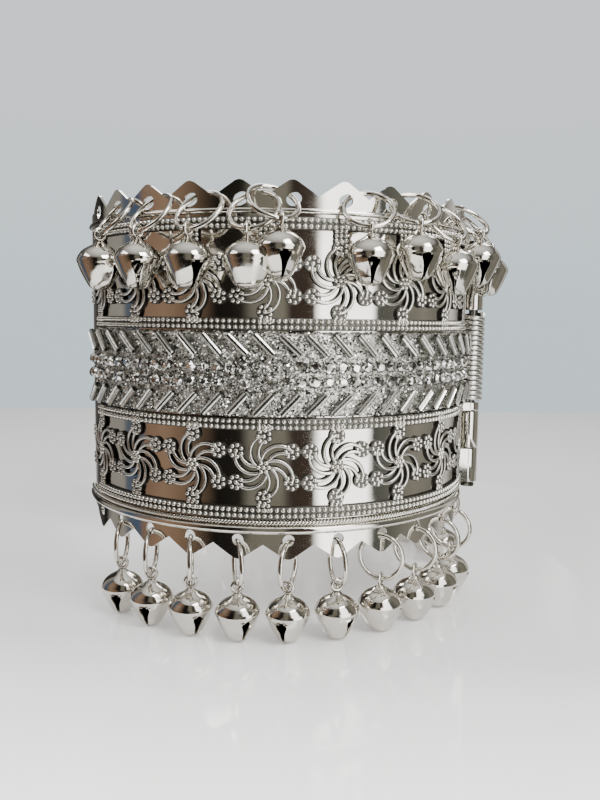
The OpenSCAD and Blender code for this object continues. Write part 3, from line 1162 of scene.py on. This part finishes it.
def strip_tree(high, plate, seeds, arm_piece, bead, bars, middle_z):
    t = Tree("filigree_strip", Rosettes=ROSETTES, Pitch=ROSETTE_PITCH * MM,
             First_Rosette=FIRST_ROSETTE * MM, Middle=middle_z * MM, Arms=6, Grain_Scale=0.86,
             Beads=int((STRIP_TO - STRIP_FROM) / BEAD_STEP), Step=BEAD_STEP * MM,
             First=(STRIP_FROM + BEAD_STEP / 2) * MM, Out=0.45 * MM,
             Plate=plate, Seeds=seeds, Arm=arm_piece, Bead=bead, Bars=bars, Material=CAST_METAL)
    grains = t.on(t.shape("Seeds", False), t.shape("Bead"), scale=t["Grain_Scale"])
    turn = t.number() * (2 * math.pi / t["Arms"]) + math.pi / 2
    arms = t.on(t.line(t["Arms"]), t.shape("Arm"), rotation=t.xyz(y=-turn))
    rosette = t.join(grains, arms, t.shape("Plate"))
    first = t.xyz(t["First_Rosette"], 0.0, t["Middle"])
    places = t.line(t["Rosettes"], t.xyz(t["Pitch"]), first)
    parts = [t.on(places, rosette), t.shape("Bars")]
    side = 1 if high > 0 else -1
    for inset in BEAD_INSETS:
        for z in (side * (STRIP_LOW_Z + inset), high - side * inset):
            row = t.row(t["Beads"], z * MM)
            parts.append(t.on(row, t.shape("Bead"), scale=t.xyz(*BEAD_SHAPE)))
    t.end(t.bend(t.real(t.join(*parts))), t["Material"])
    return t


def long_bar(low_z, high_z, steps=120):
    """Points and faces of a border's ground, cut into short steps so that it can bend."""
    shoulder, top = STRIP_OUT + STRIP_T * 0.85, STRIP_OUT + STRIP_T
    section = [(low_z, STRIP_OUT), (high_z, STRIP_OUT), (high_z, shoulder),
               (high_z - BAR_BEVEL, top), (low_z + BAR_BEVEL, top), (low_z, shoulder)]
    points = []
    for step in range(steps + 1):
        s = STRIP_FROM + (STRIP_TO - STRIP_FROM) * step / steps
        points += [flat(s, out, z) for z, out in section]
    return points, capped(section, steps + 1)


def strip_bars(high):
    """Both borders and the upright bar that closes the strip at the open end."""
    side = 1 if high > 0 else -1
    low = side * STRIP_LOW_Z
    spans = [sorted((low, low + side * BORDER_W)), sorted((high, high - side * BORDER_W))]
    end_bar = box(STRIP_FROM, STRIP_FROM + END_BAR_W, *sorted((low, high)))
    parts = [long_bar(*span) for span in spans]
    parts.append(slab(end_bar, STRIP_OUT, STRIP_OUT + STRIP_T))
    bars = mesh_object("strip_bars", *put_together(parts), None, 0)
    turn_outwards(bars)
    shade_smooth(bars)
    return bars


def filigree(name, high):
    side = 1 if high > 0 else -1
    reach_out = abs(high) - HUB_Z - BORDER_W / 2
    reach_in = HUB_Z - STRIP_LOW_Z - BORDER_W / 2
    top, bottom = (reach_out, reach_in) if side > 0 else (reach_in, reach_out)
    plate = ground_plate(top, bottom)
    seeds = point_mesh("seeds", grain_places(top, bottom))
    arm_piece = arm()
    bead = grain("bead", GRAIN_R)
    bars = strip_bars(high)
    tree = strip_tree(high, plate, seeds, arm_piece, bead, bars, side * HUB_Z)
    strip = grown(tree, name, smooth_degrees=55)
    forget(plate, seeds, arm_piece, bead, bars)
    return strip


both_halves(filigree("upper", UPPER_STRIP_Z), "upper_filigree_work", "filigree_metal",
            "upper_filigree")
both_halves(filigree("lower", -LOWER_STRIP_Z), "lower_filigree_work", "filigree_metal",
            "lower_filigree")

# %% [markdown]
# ## The glitter band
#
# The band is a layer of glue full of glitter. Its ground is a grid pushed in and out by
# noise, and on it lie thousands of real flakes, each a small hexagon that leans its own way.
# A bump texture alone gives an even grey shimmer, while flakes give single sparks.

# %% Glitter band
BAND_STEPS_S, BAND_STEPS_Z = 330, 40
BAND_RIM = 0.35
# lumps per millimetre, their height, and the layer of noise that they are read from
BAND_LUMPS = ((1.7, 0.08, 3.0), (0.4, 0.06, 9.0))


def band_ground():
    points = []
    for row in range(BAND_STEPS_Z + 1):
        z = -BAND_HALF_H + 2 * BAND_HALF_H * row / BAND_STEPS_Z
        rim = min(1.0, (BAND_HALF_H - abs(z)) / BAND_RIM)
        for step in range(BAND_STEPS_S + 1):
            s = BAND_FROM + (BAND_TO - BAND_FROM) * step / BAND_STEPS_S
            rough = 0
            for per_mm, tall, layer in BAND_LUMPS:
                rough += noise.noise(Vector((s * per_mm, layer, z * per_mm))) * tall
            fall = 0.45 + 0.55 * math.sin(rim * math.pi / 2)
            points.append(flat(s, BAND_OUT + BAND_T * fall - 0.08 + rough * rim, z))
    width = BAND_STEPS_S + 1
    faces = ring_of(range(width), BAND_STEPS_Z + 1, closed=False)
    rim_loop = list(range(width))
    rim_loop += [row * width + BAND_STEPS_S for row in range(1, BAND_STEPS_Z + 1)]
    rim_loop += [BAND_STEPS_Z * width + k for k in reversed(range(BAND_STEPS_S))]
    rim_loop += [row * width for row in reversed(range(1, BAND_STEPS_Z))]
    start = len(points)
    for n in rim_loop:
        place = points[n]
        points.append(Vector((place.x, -BAND_OUT * MM, place.z)))
    count = len(rim_loop)
    for k in range(count):
        m = (k + 1) % count
        faces.append((rim_loop[m], rim_loop[k], start + k, start + m))
    return mesh_object("band_ground", points, faces, None, 60)


def flake():
    """A flat hexagon one millimetre wide, which the trees scale down."""
    points = [flat(x, 0, z) for x, z in circle(0, 0, 0.5, 6)]
    return mesh_object("flake", points, [tuple(range(6))], None, 0)


def band_tree(piece):
    t = Tree("glitter_flakes", Density=1.15e7, Seed=5, Smallest=0.2, Largest=0.46,
             Lean=0.8, Lift=0.03 * MM, Thin=0.7, Thick_From=-24 * MM, Thick_To=15 * MM,
             Fade=9 * MM, Flake=piece, Glitter=GLITTER, Ground=GLITTER_GLUE)
    thick = t.place()[0].within(t["Thick_From"], t["Thick_To"], t["Fade"])
    density = thick.math("MAXIMUM", t["Thin"]) * t["Density"]
    spots = t.scatter(t["Geometry"], density, t["Seed"])
    lifted = t.moved(spots, t.xyz(y=-t["Lift"]))
    ground = t.coated(t["Geometry"], t["Ground"])
    t.output(t.bend(t.real(t.join(ground, t.flakes(lifted, 1)))))
    return t


ground = band_ground()
one_flake = flake()
band = grown(band_tree(one_flake), "band", ground.data, 30)
forget(ground)
both_halves(band, "glitter_band", "glitter_band", "middle_band")

# %% [markdown]
# ## Rhinestones
#
# Two rows of cut stones run along the middle of the band. Each has a table, a ring of eight
# crown facets and a lower ring down to its girdle, all flat shaded, because a cut stone is
# seen by its facets. Where the glue was laid on thick, glitter lies over the stones too.

# %% Rhinestones
STONE_W = 1.86
STONE_STEP = 1.95
STONE_ROW_Z = 1.1
STONE_OUT = BAND_OUT + BAND_T + 0.1
STONES = int((BAND_TO - BAND_FROM) / STONE_STEP)


def rhinestone():
    """A cut stone whose foot is at the origin: girdle, crown facets and table."""
    r = STONE_W / 2
    levels = [(1.0, -0.25, 0), (1.0, 0.28, 0), (0.82, 0.66, 0.5), (0.5, 0.98, 0)]
    sides = 8
    points = [flat(r * across * math.cos(a), up, r * across * math.sin(a))
              for across, up, turn in levels for a in turns(sides, turn)]
    faces = ring_of(range(sides), 2)
    girdle, crown, table = sides, 2 * sides, 3 * sides
    for k in range(sides):
        m = (k + 1) % sides
        faces.append((girdle + k, girdle + m, crown + k))
        faces.append((crown + k, girdle + m, crown + m))
        faces.append((crown + k, crown + m, table + m))
        faces.append((crown + k, table + m, table + k))
    faces.append(tuple(table + k for k in range(sides)))
    faces.append(tuple(reversed(range(sides))))
    return mesh_object("rhinestone", points, faces, CUT_GLASS, 0)


def stone_tree(stone, piece):
    t = Tree("stone_rows", Stones=STONES, Step=STONE_STEP * MM, Out=STONE_OUT * MM,
             First=(BAND_FROM + STONE_STEP / 2) * MM, Height=STONE_ROW_Z * MM, Tilt=0.16,
             Sunk=0.22 * MM, Seed=11, Lean=0.8, Buried_From=-26 * MM, Buried_To=9 * MM, Fade=7 * MM,
             Density=5.0e6, Smallest=0.16, Largest=0.4, Stone=stone, Flake=piece, Glitter=GLITTER)
    rows = []
    for side in (-1, 1):
        line = t.row(t["Stones"], t["Height"] * side)
        sunk = t.moved(line, t.xyz(y=t.random(0.0, t["Sunk"], 20 + side)))
        tilt = t.random_vector(t["Tilt"], 30 + side)
        rows.append(t.on(sunk, t.shape("Stone"), rotation=tilt))
    stones = t.real(t.join(*rows))
    buried = t.place()[0].within(t["Buried_From"], t["Buried_To"], t["Fade"])
    spots = t.scatter(stones, buried * t["Density"], t["Seed"])
    t.output(t.bend(t.real(t.join(stones, t.flakes(spots, 2)))))
    return t


one_stone = rhinestone()
stones = grown(stone_tree(one_stone, one_flake), "stones")
forget(one_stone)
both_halves(stones, "rhinestones", "rhinestones", "stone_rows")

# %% [markdown]
# ## Bugle beads
#
# Bugle beads are short cut pieces of glass tube with a bright lining, glued on aslant. A
# tube with flat sides and one lengthwise groove catches the light in lines, as the lining of
# the real bead does. They are rigid, so the points of the row are bent and the beads are
# turned.

# %% Bugle beads
BUGLES = 22
BUGLE_STEP = 3.62
BUGLE_FROM = -30.2
BUGLE_Z = 4.2
BUGLE_LEN, BUGLE_R, BUGLE_HOLE = 4.0, 0.55, 0.2
BUGLE_HOLE_DEPTH, BUGLE_BEVEL = 0.3, 0.1
BUGLE_SIDES = 14
BUGLE_GROOVE = 0.34
BUGLE_SLANT = math.radians(45)


def bugle():
    half = BUGLE_LEN / 2
    deep = half - BUGLE_HOLE_DEPTH
    soft = half - BUGLE_BEVEL
    rim = BUGLE_R - BUGLE_BEVEL
    profile = [(BUGLE_HOLE, -deep), (BUGLE_HOLE, -half), (rim, -half), (BUGLE_R, -soft),
               (BUGLE_R, soft), (rim, half), (BUGLE_HOLE, half), (BUGLE_HOLE, deep)]
    points = []
    for r, z in profile:
        for k in range(BUGLE_SIDES):
            a = 2 * math.pi * k / BUGLE_SIDES - math.pi / 2
            depth = BUGLE_GROOVE if k == 0 and r > BUGLE_HOLE else 0
            points.append(Vector(((r - depth) * math.cos(a), (r - depth) * math.sin(a), z)) * MM)
    return mesh_object("bugle", points, capped(range(BUGLE_SIDES), len(profile)), None, 0)


def bugle_tree(bead):
    t = Tree("bugle_rows", Beads=BUGLES, Step=BUGLE_STEP * MM, First=BUGLE_FROM * MM,
             Out=(BAND_OUT + BAND_T + 0.1 + BUGLE_R) * MM, Height=BUGLE_Z * MM,
             Slant=BUGLE_SLANT, Uneven=0.05, Bead=bead, Material=BUGLE_GLASS)
    rows = []
    for side in (-1, 1):
        line = t.row(t["Beads"], t["Height"] * side)
        s = t["First"] + t.number() * t["Step"]
        slant = t["Slant"] * -side + t.random(-t["Uneven"], t["Uneven"], 50 + side)
        turn = t.xyz(0.0, slant, s / (CUFF_R * MM))
        rows.append(t.on(t.bend(line), t.shape("Bead"), rotation=turn))
    t.end(t.join(*rows), t["Material"])
    return t


one_bugle = bugle()
bugles = grown(bugle_tree(one_bugle), "bugles")
forget(one_bugle, one_flake)
both_halves(bugles, "bugles", "bugle_glass", "bugle_beads")

# %% [markdown]
# ## The hinge spring and pin
#
# A wound spring holds the cuff shut. It is a helix of round wire, which a Spiral curve with a
# round profile gives at once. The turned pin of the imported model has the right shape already,
# so it stays and only gets its steel.

# %% Hinge
SPRING_LOW, SPRING_HIGH = -6.4, 9.6
SPRING_R, SPRING_WIRE_R = 2.1, 0.42


def spring_tree():
    t = Tree("hinge_spring", Low=(SPRING_LOW + SPRING_WIRE_R) * MM, Turns=17.0,
             Length=(SPRING_HIGH - SPRING_LOW - 2 * SPRING_WIRE_R) * MM,
             Coil=(SPRING_R - SPRING_WIRE_R) * MM, Wire=SPRING_WIRE_R * MM,
             Place=HINGE_X * MM, Material=SPRING_STEEL)
    place = t.xyz(t["Place"], 0.0, t["Low"])
    t.end(t.moved(t.coil(28, 12), place), t["Material"])
    return t


spring = grown(spring_tree(), "wound_spring", smooth_degrees=60)
finished(spring, FRONT, "hinge_steel", "hinge_spring")
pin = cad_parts["hinge_pin"]
for slot in pin.material_slots:
    slot.material = SPRING_STEEL
print("pin keeps", triangles(pin), "triangles")

# %% [markdown]
# ## Bells
#
# Each bell is pressed from thin sheet: a domed cap with a wire loop, a sharp waist and a cone
# below that is cut by a slot with curled lips. The body is two mirrored halves whose columns
# end on the slot's edges, so that the slot needs no Boolean and its lips can be raised.

# %% Bell and jump ring
LOOP_R, LOOP_WIRE_R = 0.82, 0.28
RING_R, RING_WIRE_R = 3.39, 0.36
UPPER_RING_R = 3.6
BELL_WALL = 0.32
# radius, height from the middle of the loop, half width of the slot
BELL_ROWS = [
    (0.42, -0.92, 0), (0.62, -1.05, 0), (0.76, -1.22, 0), (0.98, -1.42, 0), (1.36, -1.63, 0),
    (1.86, -1.88, 0), (2.34, -2.18, 0), (2.74, -2.54, 0), (3.03, -2.93, 0), (3.23, -3.30, 0),
    (3.35, -3.58, 0), (3.40, -3.80, 0), (3.37, -3.98, 0), (3.24, -4.24, 0), (3.20, -4.36, 0.42),
    (3.14, -4.55, 0.70), (3.04, -4.80, 0.77), (2.90, -5.15, 0.69), (2.73, -5.55, 0.53),
    (2.48, -6.05, 0.37), (2.12, -6.75, 0.26), (1.76, -7.42, 0.19), (1.48, -7.74, 0.16),
    (1.10, -7.96, 0.15), (0.70, -8.08, 0.14), (0.42, -8.10, 0.13),
]
LIP_RAISE, LIP_REACH, LIP_END_Z = 0.26, 0.4, -7.5


def wire(name, path, r, sides, closed):
    """A round wire along points that lie in the XZ plane, in millimetres."""
    count = len(path)
    points = []
    for n, (x, z) in enumerate(path):
        before = path[(n - 1) % count] if closed or n else path[0]
        after = path[(n + 1) % count] if closed or n < count - 1 else path[-1]
        along = Vector((after[0] - before[0], 0, after[1] - before[1])).normalized()
        side = along.cross(Vector((0, 1, 0)))
        for a in turns(sides):
            off = math.cos(a) * side + math.sin(a) * Vector((0, 1, 0))
            points.append((Vector((x, 0, z)) + r * off) * MM)
    row = range(sides)
    faces = ring_of(row, count, looped=True) if closed else capped(row, count)
    obj = mesh_object(name, points, faces, None, 0)
    turn_outwards(obj)
    shade_smooth(obj, 50)
    return obj


def arc_path(r, start, sweep, steps, closed=False):
    count = steps if closed else steps + 1
    angles = [math.radians(start + sweep * k / steps) for k in range(count)]
    return [(r * math.sin(a), r * math.cos(a)) for a in angles]


def jump_ring(name, r):
    """A ring that stands in the XZ plane, with a narrow gap where its ends meet."""
    return wire(name, arc_path(r, 62, 357.5, 56), RING_WIRE_R, 12, False)


def bell_loop():
    return wire("bell_loop", arc_path(LOOP_R, 0, 360, 20, True), LOOP_WIRE_R, 8, True)


def bell_body(columns=14):
    points = []
    for half in (-math.pi / 2, math.pi / 2):
        for r, z, slot in BELL_ROWS:
            edge = math.asin(slot / r)
            for k in range(columns + 1):
                share = 0.5 - 0.5 * math.cos(math.pi * k / columns)
                a = edge + (math.pi - 2 * edge) * share
                away = min(share, 1 - share) * math.pi * r
                raised = LIP_RAISE * min(slot / 0.3, 1.0) * math.exp(-(away / LIP_REACH) ** 2)
                if z < LIP_END_Z:
                    raised = 0
                x, y = (r + raised) * math.cos(a + half), (r + raised) * math.sin(a + half)
                points.append(Vector((x, y, z)) * MM)
    width = columns + 1
    rows = len(BELL_ROWS)
    faces = []
    half_faces = inside_out(ring_of(range(width), rows, closed=False))
    half_faces.append(tuple((rows - 1) * width + k for k in reversed(range(width))))
    for start in (0, rows * width):
        faces += [tuple(n + start for n in face) for face in half_faces]
    body = mesh_object("bell_body", points, faces, None, 0)
    turn_outwards(body, merge=0.001 * MM)
    for material in (BELL_METAL, BELL_INSIDE_SHADE):
        body.data.materials.append(material)
    # the inner wall takes the second material, the inside's painted shade
    modify(body, "SOLIDIFY", thickness=BELL_WALL * MM, offset=-1, material_offset=1)
    apply_modifiers(body)
    shade_smooth(body, 38)
    inner = body.data.attributes.new("inside", "FLOAT", "FACE")
    for face in body.data.polygons:
        inner.data[face.index].value = face.material_index
    return body


lower_ring = jump_ring("lower_ring", RING_R)
upper_ring = jump_ring("upper_ring", UPPER_RING_R)
loop_piece, body_piece = bell_loop(), bell_body()
print("bell:", triangles(body_piece), "triangles, ring:", triangles(lower_ring))

# %% [markdown]
# ## Hanging the bells
#
# Each ring passes through a tooth's hole and the bell's loop. The lower ones hang straight
# down. An upper ring can't hang through its hole without crossing the sheet, so it lies
# over the edge and leans outwards, and its bell hangs upright a little away from the wall.
# The turns are worked out here as matrices, stored on points, and a tree sets the pieces on
# them.

# %% Hanging
RING, LOOP, BODY = 0, 1, 2
# turn of the ring about its hole, and of the bell's slot
LOWER_TURNS = [
    (45, -4), (30, -5), (27, 24), (23, 16), (-24, 3),
    (0, 23), (36, 17), (19, 18), (4, -2), (-8, 15),
]
# side on which the ring crosses the edge, how far along and up, its lean, and the turn of the
# bell's slot
UPPER_HANGS = [
    (1, 3.9, 0.7, 41.5, 30), (1, 3.9, 0.7, 41.5, -35), (1, 3.9, 0.7, 41.5, -30),
    (1, 3.9, 0.7, 41.5, 10), (-1, 5.0, 1.6, 49.5, 80), (1, 4.6, 1.2, 45.5, 90),
    (1, 5.2, 1.8, 52.5, 95), (1, 3.9, 0.7, 41.5, 40), (1, 5.2, 1.8, 52.5, 60),
    (1, 4.2, 1.0, 43.5, 20),
]
LOWER_RING_Z = -LOWER_HOLE_Z - LOWER_RING_DROP - RING_R


def shifted(x, y, z):
    return Matrix.Translation(Vector((x, y, z)) * MM)


def about(axis, degrees):
    return Matrix.Rotation(math.radians(degrees), 4, axis)


def on_shell(s, z):
    """A place in the middle of the sheet's wall: X along the arc, Y inwards."""
    return about("Z", math.degrees(s / CUFF_R)) @ shifted(0, -MID_R, z)


def lower_places():
    places = []
    for k, (ring_turn, slot_turn) in enumerate(LOWER_TURNS):
        top = on_shell(tooth_s(k + 1), LOWER_RING_Z) @ about("Z", ring_turn)
        bell = top @ shifted(0, 0, -RING_R)
        places += [(RING, top @ about("Z", 90)), (LOOP, bell), (BODY, bell @ about("Z", slot_turn))]
    return places


def upper_place(k, side, span, lift, lean, slot_turn):
    """Ring, loop and body of one upper bell."""
    r = UPPER_RING_R
    half = math.hypot(span, lift) / 2
    rise = side * math.atan2(lift, span)
    lean = math.radians(lean)
    off = math.sqrt(r ** 2 - half ** 2)
    along = Vector((math.cos(rise), 0, math.sin(rise)))
    over = Vector((math.sin(rise) * math.cos(lean), -math.sin(lean),
                   -math.cos(rise) * math.cos(lean)))
    middle = Vector((UPPER_HOLE_STRETCH[0] / 2 + side * span / 2, 0,
                     UPPER_HOLE_STRETCH[1] / 2 + lift / 2))
    fall = math.hypot(along.z, over.z)
    centre = middle + off * over
    hang = centre - r * (along.z * along + over.z * over) / fall
    level = (over.z * along - along.z * over) / fall
    turn = math.degrees(math.atan2(-level.x, level.y))
    # the ring's own axes: along the crossing, out of its plane, and over the edge
    axes = Matrix((along, along.cross(over), -over)).transposed().to_4x4()
    tooth = on_shell(tooth_s(k + 1), UPPER_HOLE_Z)
    bell = tooth @ shifted(*hang) @ about("Z", turn)
    return [(RING, tooth @ shifted(*centre) @ axes), (LOOP, bell),
            (BODY, bell @ about("Z", slot_turn))]


def upper_places():
    return [place for k, hang in enumerate(UPPER_HANGS) for place in upper_place(k, *hang)]


def hanging_tree(ring_piece):
    t = Tree("hanging_drops", Ring=ring_piece, Loop=loop_piece, Body=body_piece,
             Material=BELL_METAL, Inside=BELL_INSIDE_SHADE)
    turn = t.stored("turn", "FLOAT_VECTOR")
    pieces = []
    for number, label in enumerate(("Ring", "Loop", "Body")):
        chosen = t.stored("kind").math("COMPARE", number)
        pieces.append(t.on(t["Geometry"], t.shape(label), rotation=turn, selection=chosen))
    bright = t.coated(t.real(t.join(*pieces)), t["Material"])
    # inner faces are coated with the bell inside's painted shade
    t.output(t.coated(bright, t["Inside"], t.stored("inside").math("GREATER_THAN", 0.5)))
    return t


def hung(name, ring_piece, places):
    start = bpy.data.meshes.new(name + "_points")
    start.from_pydata([tuple(m.translation) for _, m in places], [], [])
    start.attributes.new("turn", "FLOAT_VECTOR", "POINT")
    start.attributes.new("kind", "FLOAT", "POINT")
    for n, (kind, matrix) in enumerate(places):
        start.attributes["turn"].data[n].vector = Vector(matrix.to_euler("XYZ"))
        start.attributes["kind"].data[n].value = kind
    return grown(hanging_tree(ring_piece), name, start)


numbers = [f"{k + 1:02d}" for k in range(BELLS)]
both_halves(hung("upper", upper_ring, upper_places()), "upper_bells", "bell_metal", "upper_drops")
both_halves(hung("lower", lower_ring, lower_places()), "lower_bells", "bell_metal",
            *("lower_drop_" + n for n in numbers))
forget(lower_ring, upper_ring, loop_piece, body_piece)

# %% [markdown]
# ## Studio
#
# The floor is a pale board with a painted glow under a pale backdrop. A mirror only looks like one
# when it has something to reflect, so two rings of glowing painted cards stand round the piece, seen
# by its
# reflections and by nothing else: browns and greys, a dark gap and a bright window, all painted. The
# far ring serves the cuff. The near one is low, so the lower teeth mirror cards and not floor.

# %% Floor and backdrop
FLOOR_Z = min(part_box(node)[0].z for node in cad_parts)
FLOOR_HALF = 0.25
FLOOR_T = 20 * MM
PAINTED_DAYLIGHT_FADE = (-0.075, -0.034)


def floor():
    """A pale board with a painted glow: bright in front, as if daylight fell there, and dim under
    and behind the piece.
    """
    f = Finish("pale_floor", Roughness=0.08, IOR=1.8, Emission_Strength=1.4)
    depth = f.split(f.place)[1]
    f.feed(
        Base_Color=f.mix(f.noise(0.05), (0.84, 0.84, 0.85), (0.92, 0.92, 0.92)),
        # painted light and shade: the board glows bright in front and dim where the piece stands and
        # behind it
        Emission_Color=f.mix(depth.between(*PAINTED_DAYLIGHT_FADE), (1.0, 1.0, 0.985), (0.18, 0.18, 0.18)),
    )
    corners = [(-1, -1), (1, -1), (1, 1), (-1, 1)]
    spin = Matrix.Rotation(CAMERA_AZIMUTH, 3, "Z")
    points = [spin @ Vector((x * FLOOR_HALF, y * FLOOR_HALF, FLOOR_Z - down))
              for down in (FLOOR_T, 0) for x, y in corners]
    return mesh_object("floor", points, capped(corners), f.material, 30)


# radius, top, and how close together the colours lie: a nearer card shows more of itself
FAR_CARDS = (0.1, 0.068, 1.0)
NEAR_CARDS = (0.057, -0.025, 0.85)
CARD_SIDES = 96
CARD_FOOT = 0.4 * MM
# azimuth from the front towards the hinge, in degrees, then the colour that the card glows with
CARDS = [
    (-180, (0.30, 0.29, 0.27)), (-150, (0.75, 0.75, 0.76)), (-128, (0.10, 0.095, 0.09)),
    (-104, (0.012, 0.011, 0.010)), (-97, (0.34, 0.32, 0.29)), (-82, (0.34, 0.32, 0.29)),
    (-78, (0.12, 0.14, 0.18)), (-68, (0.07, 0.11, 0.19)), (-64, (0.25, 0.16, 0.11)),
    (-50, (0.32, 0.21, 0.14)), (-34, (0.18, 0.12, 0.08)), (-22, (0.012, 0.011, 0.009)),
    (-10, (0.02, 0.018, 0.015)), (-5, (0.21, 0.20, 0.165)), (10, (0.24, 0.225, 0.185)),
    (14, (0.05, 0.037, 0.03)), (24, (0.07, 0.05, 0.037)), (28, (4.6, 4.6, 4.5)),
    (52, (4.0, 4.0, 3.95)), (56, (0.10, 0.105, 0.095)), (70, (0.18, 0.18, 0.15)),
    (84, (0.30, 0.285, 0.24)), (104, (0.20, 0.19, 0.165)), (118, (0.9, 0.88, 0.83)),
    (132, (0.20, 0.19, 0.17)), (150, (0.45, 0.42, 0.38)), (168, (0.12, 0.11, 0.10)),
]
# colours by height, from straight down (0) to straight up (1)
SKY_SEEN = [
    (0.0, (0.70, 0.85, 0.92)), (0.5, (0.76, 0.91, 0.97)), (0.62, (0.93, 0.99, 1.02)),
    (1.0, (1.0, 1.0, 0.99)),
]
ROOM_MIRRORED = [
    (0.0, (0.20, 0.20, 0.19)), (0.62, (0.17, 0.165, 0.155)), (0.8, (0.12, 0.115, 0.105)),
    (0.9, (0.6, 0.6, 0.585)), (1.0, (1.3, 1.3, 1.27)),
]
# place and size in metres, and watts
SOFTBOXES = {
    "key_light": ((0.26, -0.22, 0.34), (0.22, 0.22), 2.2),
    "fill_light": ((-0.34, -0.16, 0.22), (0.25, 0.25), 0.9),
    "back_light": ((0.0, 0.34, 0.32), (0.4, 0.16), 1.2),
}


def cards(name, radius, top, spacing):
    """A ring of glowing cards, painted inside, that gives the metal painted reflections of a room;
    it can be seen through from outside.
    """
    f = Finish(name)
    turned_place = f.scaled((1, 1, 1), (0, 0, math.pi / 2))
    around = f.add("ShaderNodeTexGradient", {"gradient_type": "RADIAL"}, {"Vector": turned_place}, 1)
    middle = math.degrees(CAMERA_AZIMUTH)
    stops = [((middle + spacing * (azimuth - middle) + 180) / 360, colour)
             for azimuth, colour in CARDS]
    painted = f.add("ShaderNodeValToRGB", {"stops": stops}, {0: around})
    # the cards glow though they are no lamps: what the metal mirrors of them is painted light and
    # shade
    glow = f.add("ShaderNodeEmission", None, {"Color": painted})
    clear = f.add("ShaderNodeBsdfTransparent")
    inside = f.add("ShaderNodeNewGeometry", out="Backfacing")
    one_way = f.add("ShaderNodeMixShader", None, {0: inside, 1: clear, 2: glow})
    f.put(f.node("OUTPUT_MATERIAL").inputs[0], one_way)
    points = [Vector((x, y, z)) for z in (FLOOR_Z + CARD_FOOT, top)
              for x, y in circle(0, 0, radius, CARD_SIDES)]
    ring = mesh_object(name, points, ring_of(range(CARD_SIDES), 2), f.material, 30)
    ring.visible_camera = False
    ring.visible_diffuse = False
    ring.visible_shadow = False
    return ring


def backdrop():
    """The pale sky that the camera sees, and the dimmer room that the metal sees."""
    world = bpy.data.worlds.new("backdrop")
    bpy.context.scene.world = world
    world.use_nodes = True
    g = Graph(world.node_tree)
    g.tree.nodes.clear()
    height = g.split(g.add("ShaderNodeTexCoord", out="Generated"))[2]
    share = g.add("ShaderNodeMapRange", None, {0: height, 1: -1.0})
    lights = []
    for stops in (ROOM_MIRRORED, SKY_SEEN):
        colour = g.add("ShaderNodeValToRGB", {"stops": stops}, {0: share})
        lights.append(g.add("ShaderNodeBackground", None, {0: colour}))
    for_camera = g.add("ShaderNodeLightPath", out="Is Camera Ray")
    pick = g.add("ShaderNodeMixShader", None, {0: for_camera, 1: lights[0], 2: lights[1]})
    g.new("ShaderNodeOutputWorld", None, {0: pick})


def softbox(name, place, size, watts):
    """A soft area light that faces the cuff."""
    data = bpy.data.lights.new(name, "AREA")
    data.shape = "RECTANGLE"
    data.size, data.size_y = size
    data.energy = watts
    light = link(bpy.data.objects.new(name, data))
    facing = (-Vector(place)).to_track_quat("-Z", "Y").to_matrix().to_4x4()
    light.matrix_world = Matrix.Translation(place) @ facing


floor()
cards("far_cards", *FAR_CARDS)
cards("near_cards", *NEAR_CARDS)
backdrop()
for light_name, (place, size, watts) in SOFTBOXES.items():
    softbox(light_name, place, size, watts)
print("floor at", round(FLOOR_Z / MM, 2), "mm")
